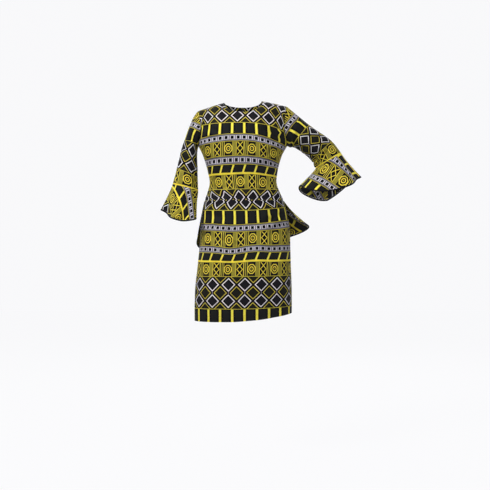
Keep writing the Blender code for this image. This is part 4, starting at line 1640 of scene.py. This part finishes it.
# %% Stitches
STITCH_PITCH = 0.0034
STITCH_LENGTH = 0.0026
STITCH_RADIUS = 0.00032
STITCH_DIP = 0.0003
STITCH_BEND = 0.3


def select_where(piece, test):
    """Go to edit mode with the vertices selected whose place passes a test."""
    bpy.ops.object.mode_set(mode="EDIT")
    bpy.ops.mesh.select_mode(type="VERT")
    bpy.ops.mesh.select_all(action="DESELECT")
    bpy.ops.object.mode_set(mode="OBJECT")
    for vertex in piece.data.vertices:
        vertex.select = test(vertex.co)
    bpy.ops.object.mode_set(mode="EDIT")


def put(centre, along, out):
    """The matrix that moves a model to a place, its X along one way and its Z outwards."""
    side_way = out.cross(along).normalized()
    turned = Matrix((along, side_way, along.cross(side_way))).transposed()
    return Matrix.Translation(centre) @ turned.to_4x4()


def copies(name, model, places, surface):
    """One piece that holds a copy of a model at each place."""
    points = []
    faces = []
    for place in places:
        base = len(points)
        points += [place @ vertex.co for vertex in model.data.vertices]
        faces += [[base + k for k in polygon.vertices] for polygon in model.data.polygons]
    print(name, len(places), "copies,", len(faces), "faces")
    return dress(from_points(name, points, faces), surface)


bpy.ops.object.select_all(action="DESELECT")
bpy.ops.mesh.primitive_uv_sphere_add(segments=6, ring_count=6, radius=STITCH_RADIUS)
one_stitch = bpy.context.active_object
bpy.ops.object.mode_set(mode="EDIT")
bpy.ops.mesh.select_all(action="SELECT")
bpy.ops.transform.rotate(value=UPRIGHT, orient_axis="Y", center_override=(0, 0, 0))
bpy.ops.transform.resize(value=(STITCH_LENGTH / 2 / STITCH_RADIUS, 1, 1))
select_where(one_stitch, lambda place: abs(place.x) > STITCH_BEND * STITCH_LENGTH)
bpy.ops.transform.translate(value=(0, 0, -STITCH_DIP))
bpy.ops.object.mode_set(mode="OBJECT")


def stitches(name, line, normals):
    """A row of stitches on a line of points, with the way out at each."""
    reach = reaches(line)
    goals = [(step + 0.5) * STITCH_PITCH for step in range(int(reach[-1] / STITCH_PITCH))]
    places = []
    for i, part in walk(reach, goals):
        along = (line[i + 1] - line[i]).normalized()
        out = normals[i].lerp(normals[i + 1], part)
        places.append(put(line[i].lerp(line[i + 1], part), along, out))
    copies(name, one_stitch, places, BLACK).data.shade_smooth()


HEM_STITCH_ROW = 4
NECK_STITCH_STEP = 0.006
for face, rows in (("front", skirt_front), ("back", skirt_back)):
    normals = own_normals(rows, False, SHARED)
    stitches("hem_stitches_" + face, rows[HEM_STITCH_ROW], normals[HEM_STITCH_ROW])
for face, rows in (("front", bodice_front), ("back", bodice_back)):
    normals = own_normals(rows, False, SHARED)
    line = []
    for top_point, low_point in zip(rows[-1], rows[-3]):
        line.append(top_point + (low_point - top_point).normalized() * NECK_STITCH_STEP)
    span = slice(QUARTER, 3 * QUARTER + 1)
    stitches("neck_stitches_" + face, line[span], normals[-2][span])

# %% [markdown]
# The zip lies in the centre back seam, on a woven tape. Its chain is two rows of small metal teeth,
# set by turns. One tooth is a box with its edges taken off and its tip drawn in, and a wider box
# stops the slider at the lower end.

# %% Zip chain
TAPE_THICKNESS = 0.0008
TAPE_SINK = 0.0004
TOOTH_PITCH = 0.0024
TOOTH = (0.0030, 0.0013, 0.0011)
TOOTH_TIP = 0.7
TOOTH_EDGE = 0.0002
TOOTH_ASIDE = 0.0008
STOP = (0.0054, 0.0030, 0.0018)
STOP_EDGE = 0.0004
ZIP_STITCH_STEP = 0.008


def block(size, edge):
    """A box at the origin with its edges taken off."""
    bpy.ops.object.select_all(action="DESELECT")
    bpy.ops.mesh.primitive_cube_add(size=1)
    bpy.ops.object.mode_set(mode="EDIT")
    bpy.ops.mesh.select_all(action="SELECT")
    bpy.ops.transform.resize(value=size)
    bpy.ops.mesh.bevel(offset=edge, segments=1, affect="EDGES")
    bpy.ops.object.mode_set(mode="OBJECT")
    return bpy.context.active_object


zip_line = [row[middle] for row in skirt_back if row[middle].z >= ZIP_END + ZIP_CLOSE]
zip_line = zip_line[:-1] + [row[middle] for row in bodice_back]
half_tape = Vector((ZIP_WIDTH / 2, 0, 0))
tape_rows = [[point + half_tape, point - half_tape] for point in zip_line]
tape_map = [[(0.0, -point.z), (ZIP_WIDTH, -point.z)] for point in zip_line]
tape_ways = own_normals(tape_rows, False)
tape = shell("zip_tape_strip", tape_rows, tape_map, tape_ways, TAPE_THICKNESS, lift=-TAPE_SINK)
dress(tape, TAPE, "zip_chain")

tooth = block(TOOTH, TOOTH_EDGE)
select_where(tooth, lambda place: place.x < 0)
bpy.ops.transform.resize(value=(1, TOOTH_TIP, 1))
bpy.ops.object.mode_set(mode="OBJECT")
count = int(reaches(zip_line)[-1] / TOOTH_PITCH) * 2
spots = evenly(zip_line, count)
ACROSS_WAY = Vector((1, 0, 0))
places = []
for step in range(2, count):
    up = (spots[step] - spots[step - 1]).normalized()
    aside = ACROSS_WAY if step % 2 else -ACROSS_WAY
    out = ACROSS_WAY.cross(up)
    places.append(put(spots[step] + aside * TOOTH_ASIDE, aside, out if out.y > 0 else -out))
copies("zip_teeth", tooth, places, BRASS)
stop_block = block(STOP, STOP_EDGE)
stop_place = put(spots[1], ACROSS_WAY, Vector((0, 1, 0)))
copies("zip_bottom_stop", stop_block, [stop_place], BRASS)

back_ways = [normals[middle] for normals in own_normals(bodice_back, False, SHARED)]
for side, sign in SIDE_SIGN.items():
    line = [row[middle] + ACROSS_WAY * sign * ZIP_STITCH_STEP for row in bodice_back[:-1]]
    stitches("zip_stitches_" + side, line, back_ways[:-1])
for model in (one_stitch, tooth, stop_block):
    bpy.data.objects.remove(model)

# %% [markdown]
# The slider and its tab keep their packed forms, and take the brass.

# %% Slider and tab
for node in ("zip_slider", "zip_pull_tab"):
    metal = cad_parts[node]
    metal.data.materials.clear()
    metal.data.materials.append(BRASS)
print("slider and tab are brass")
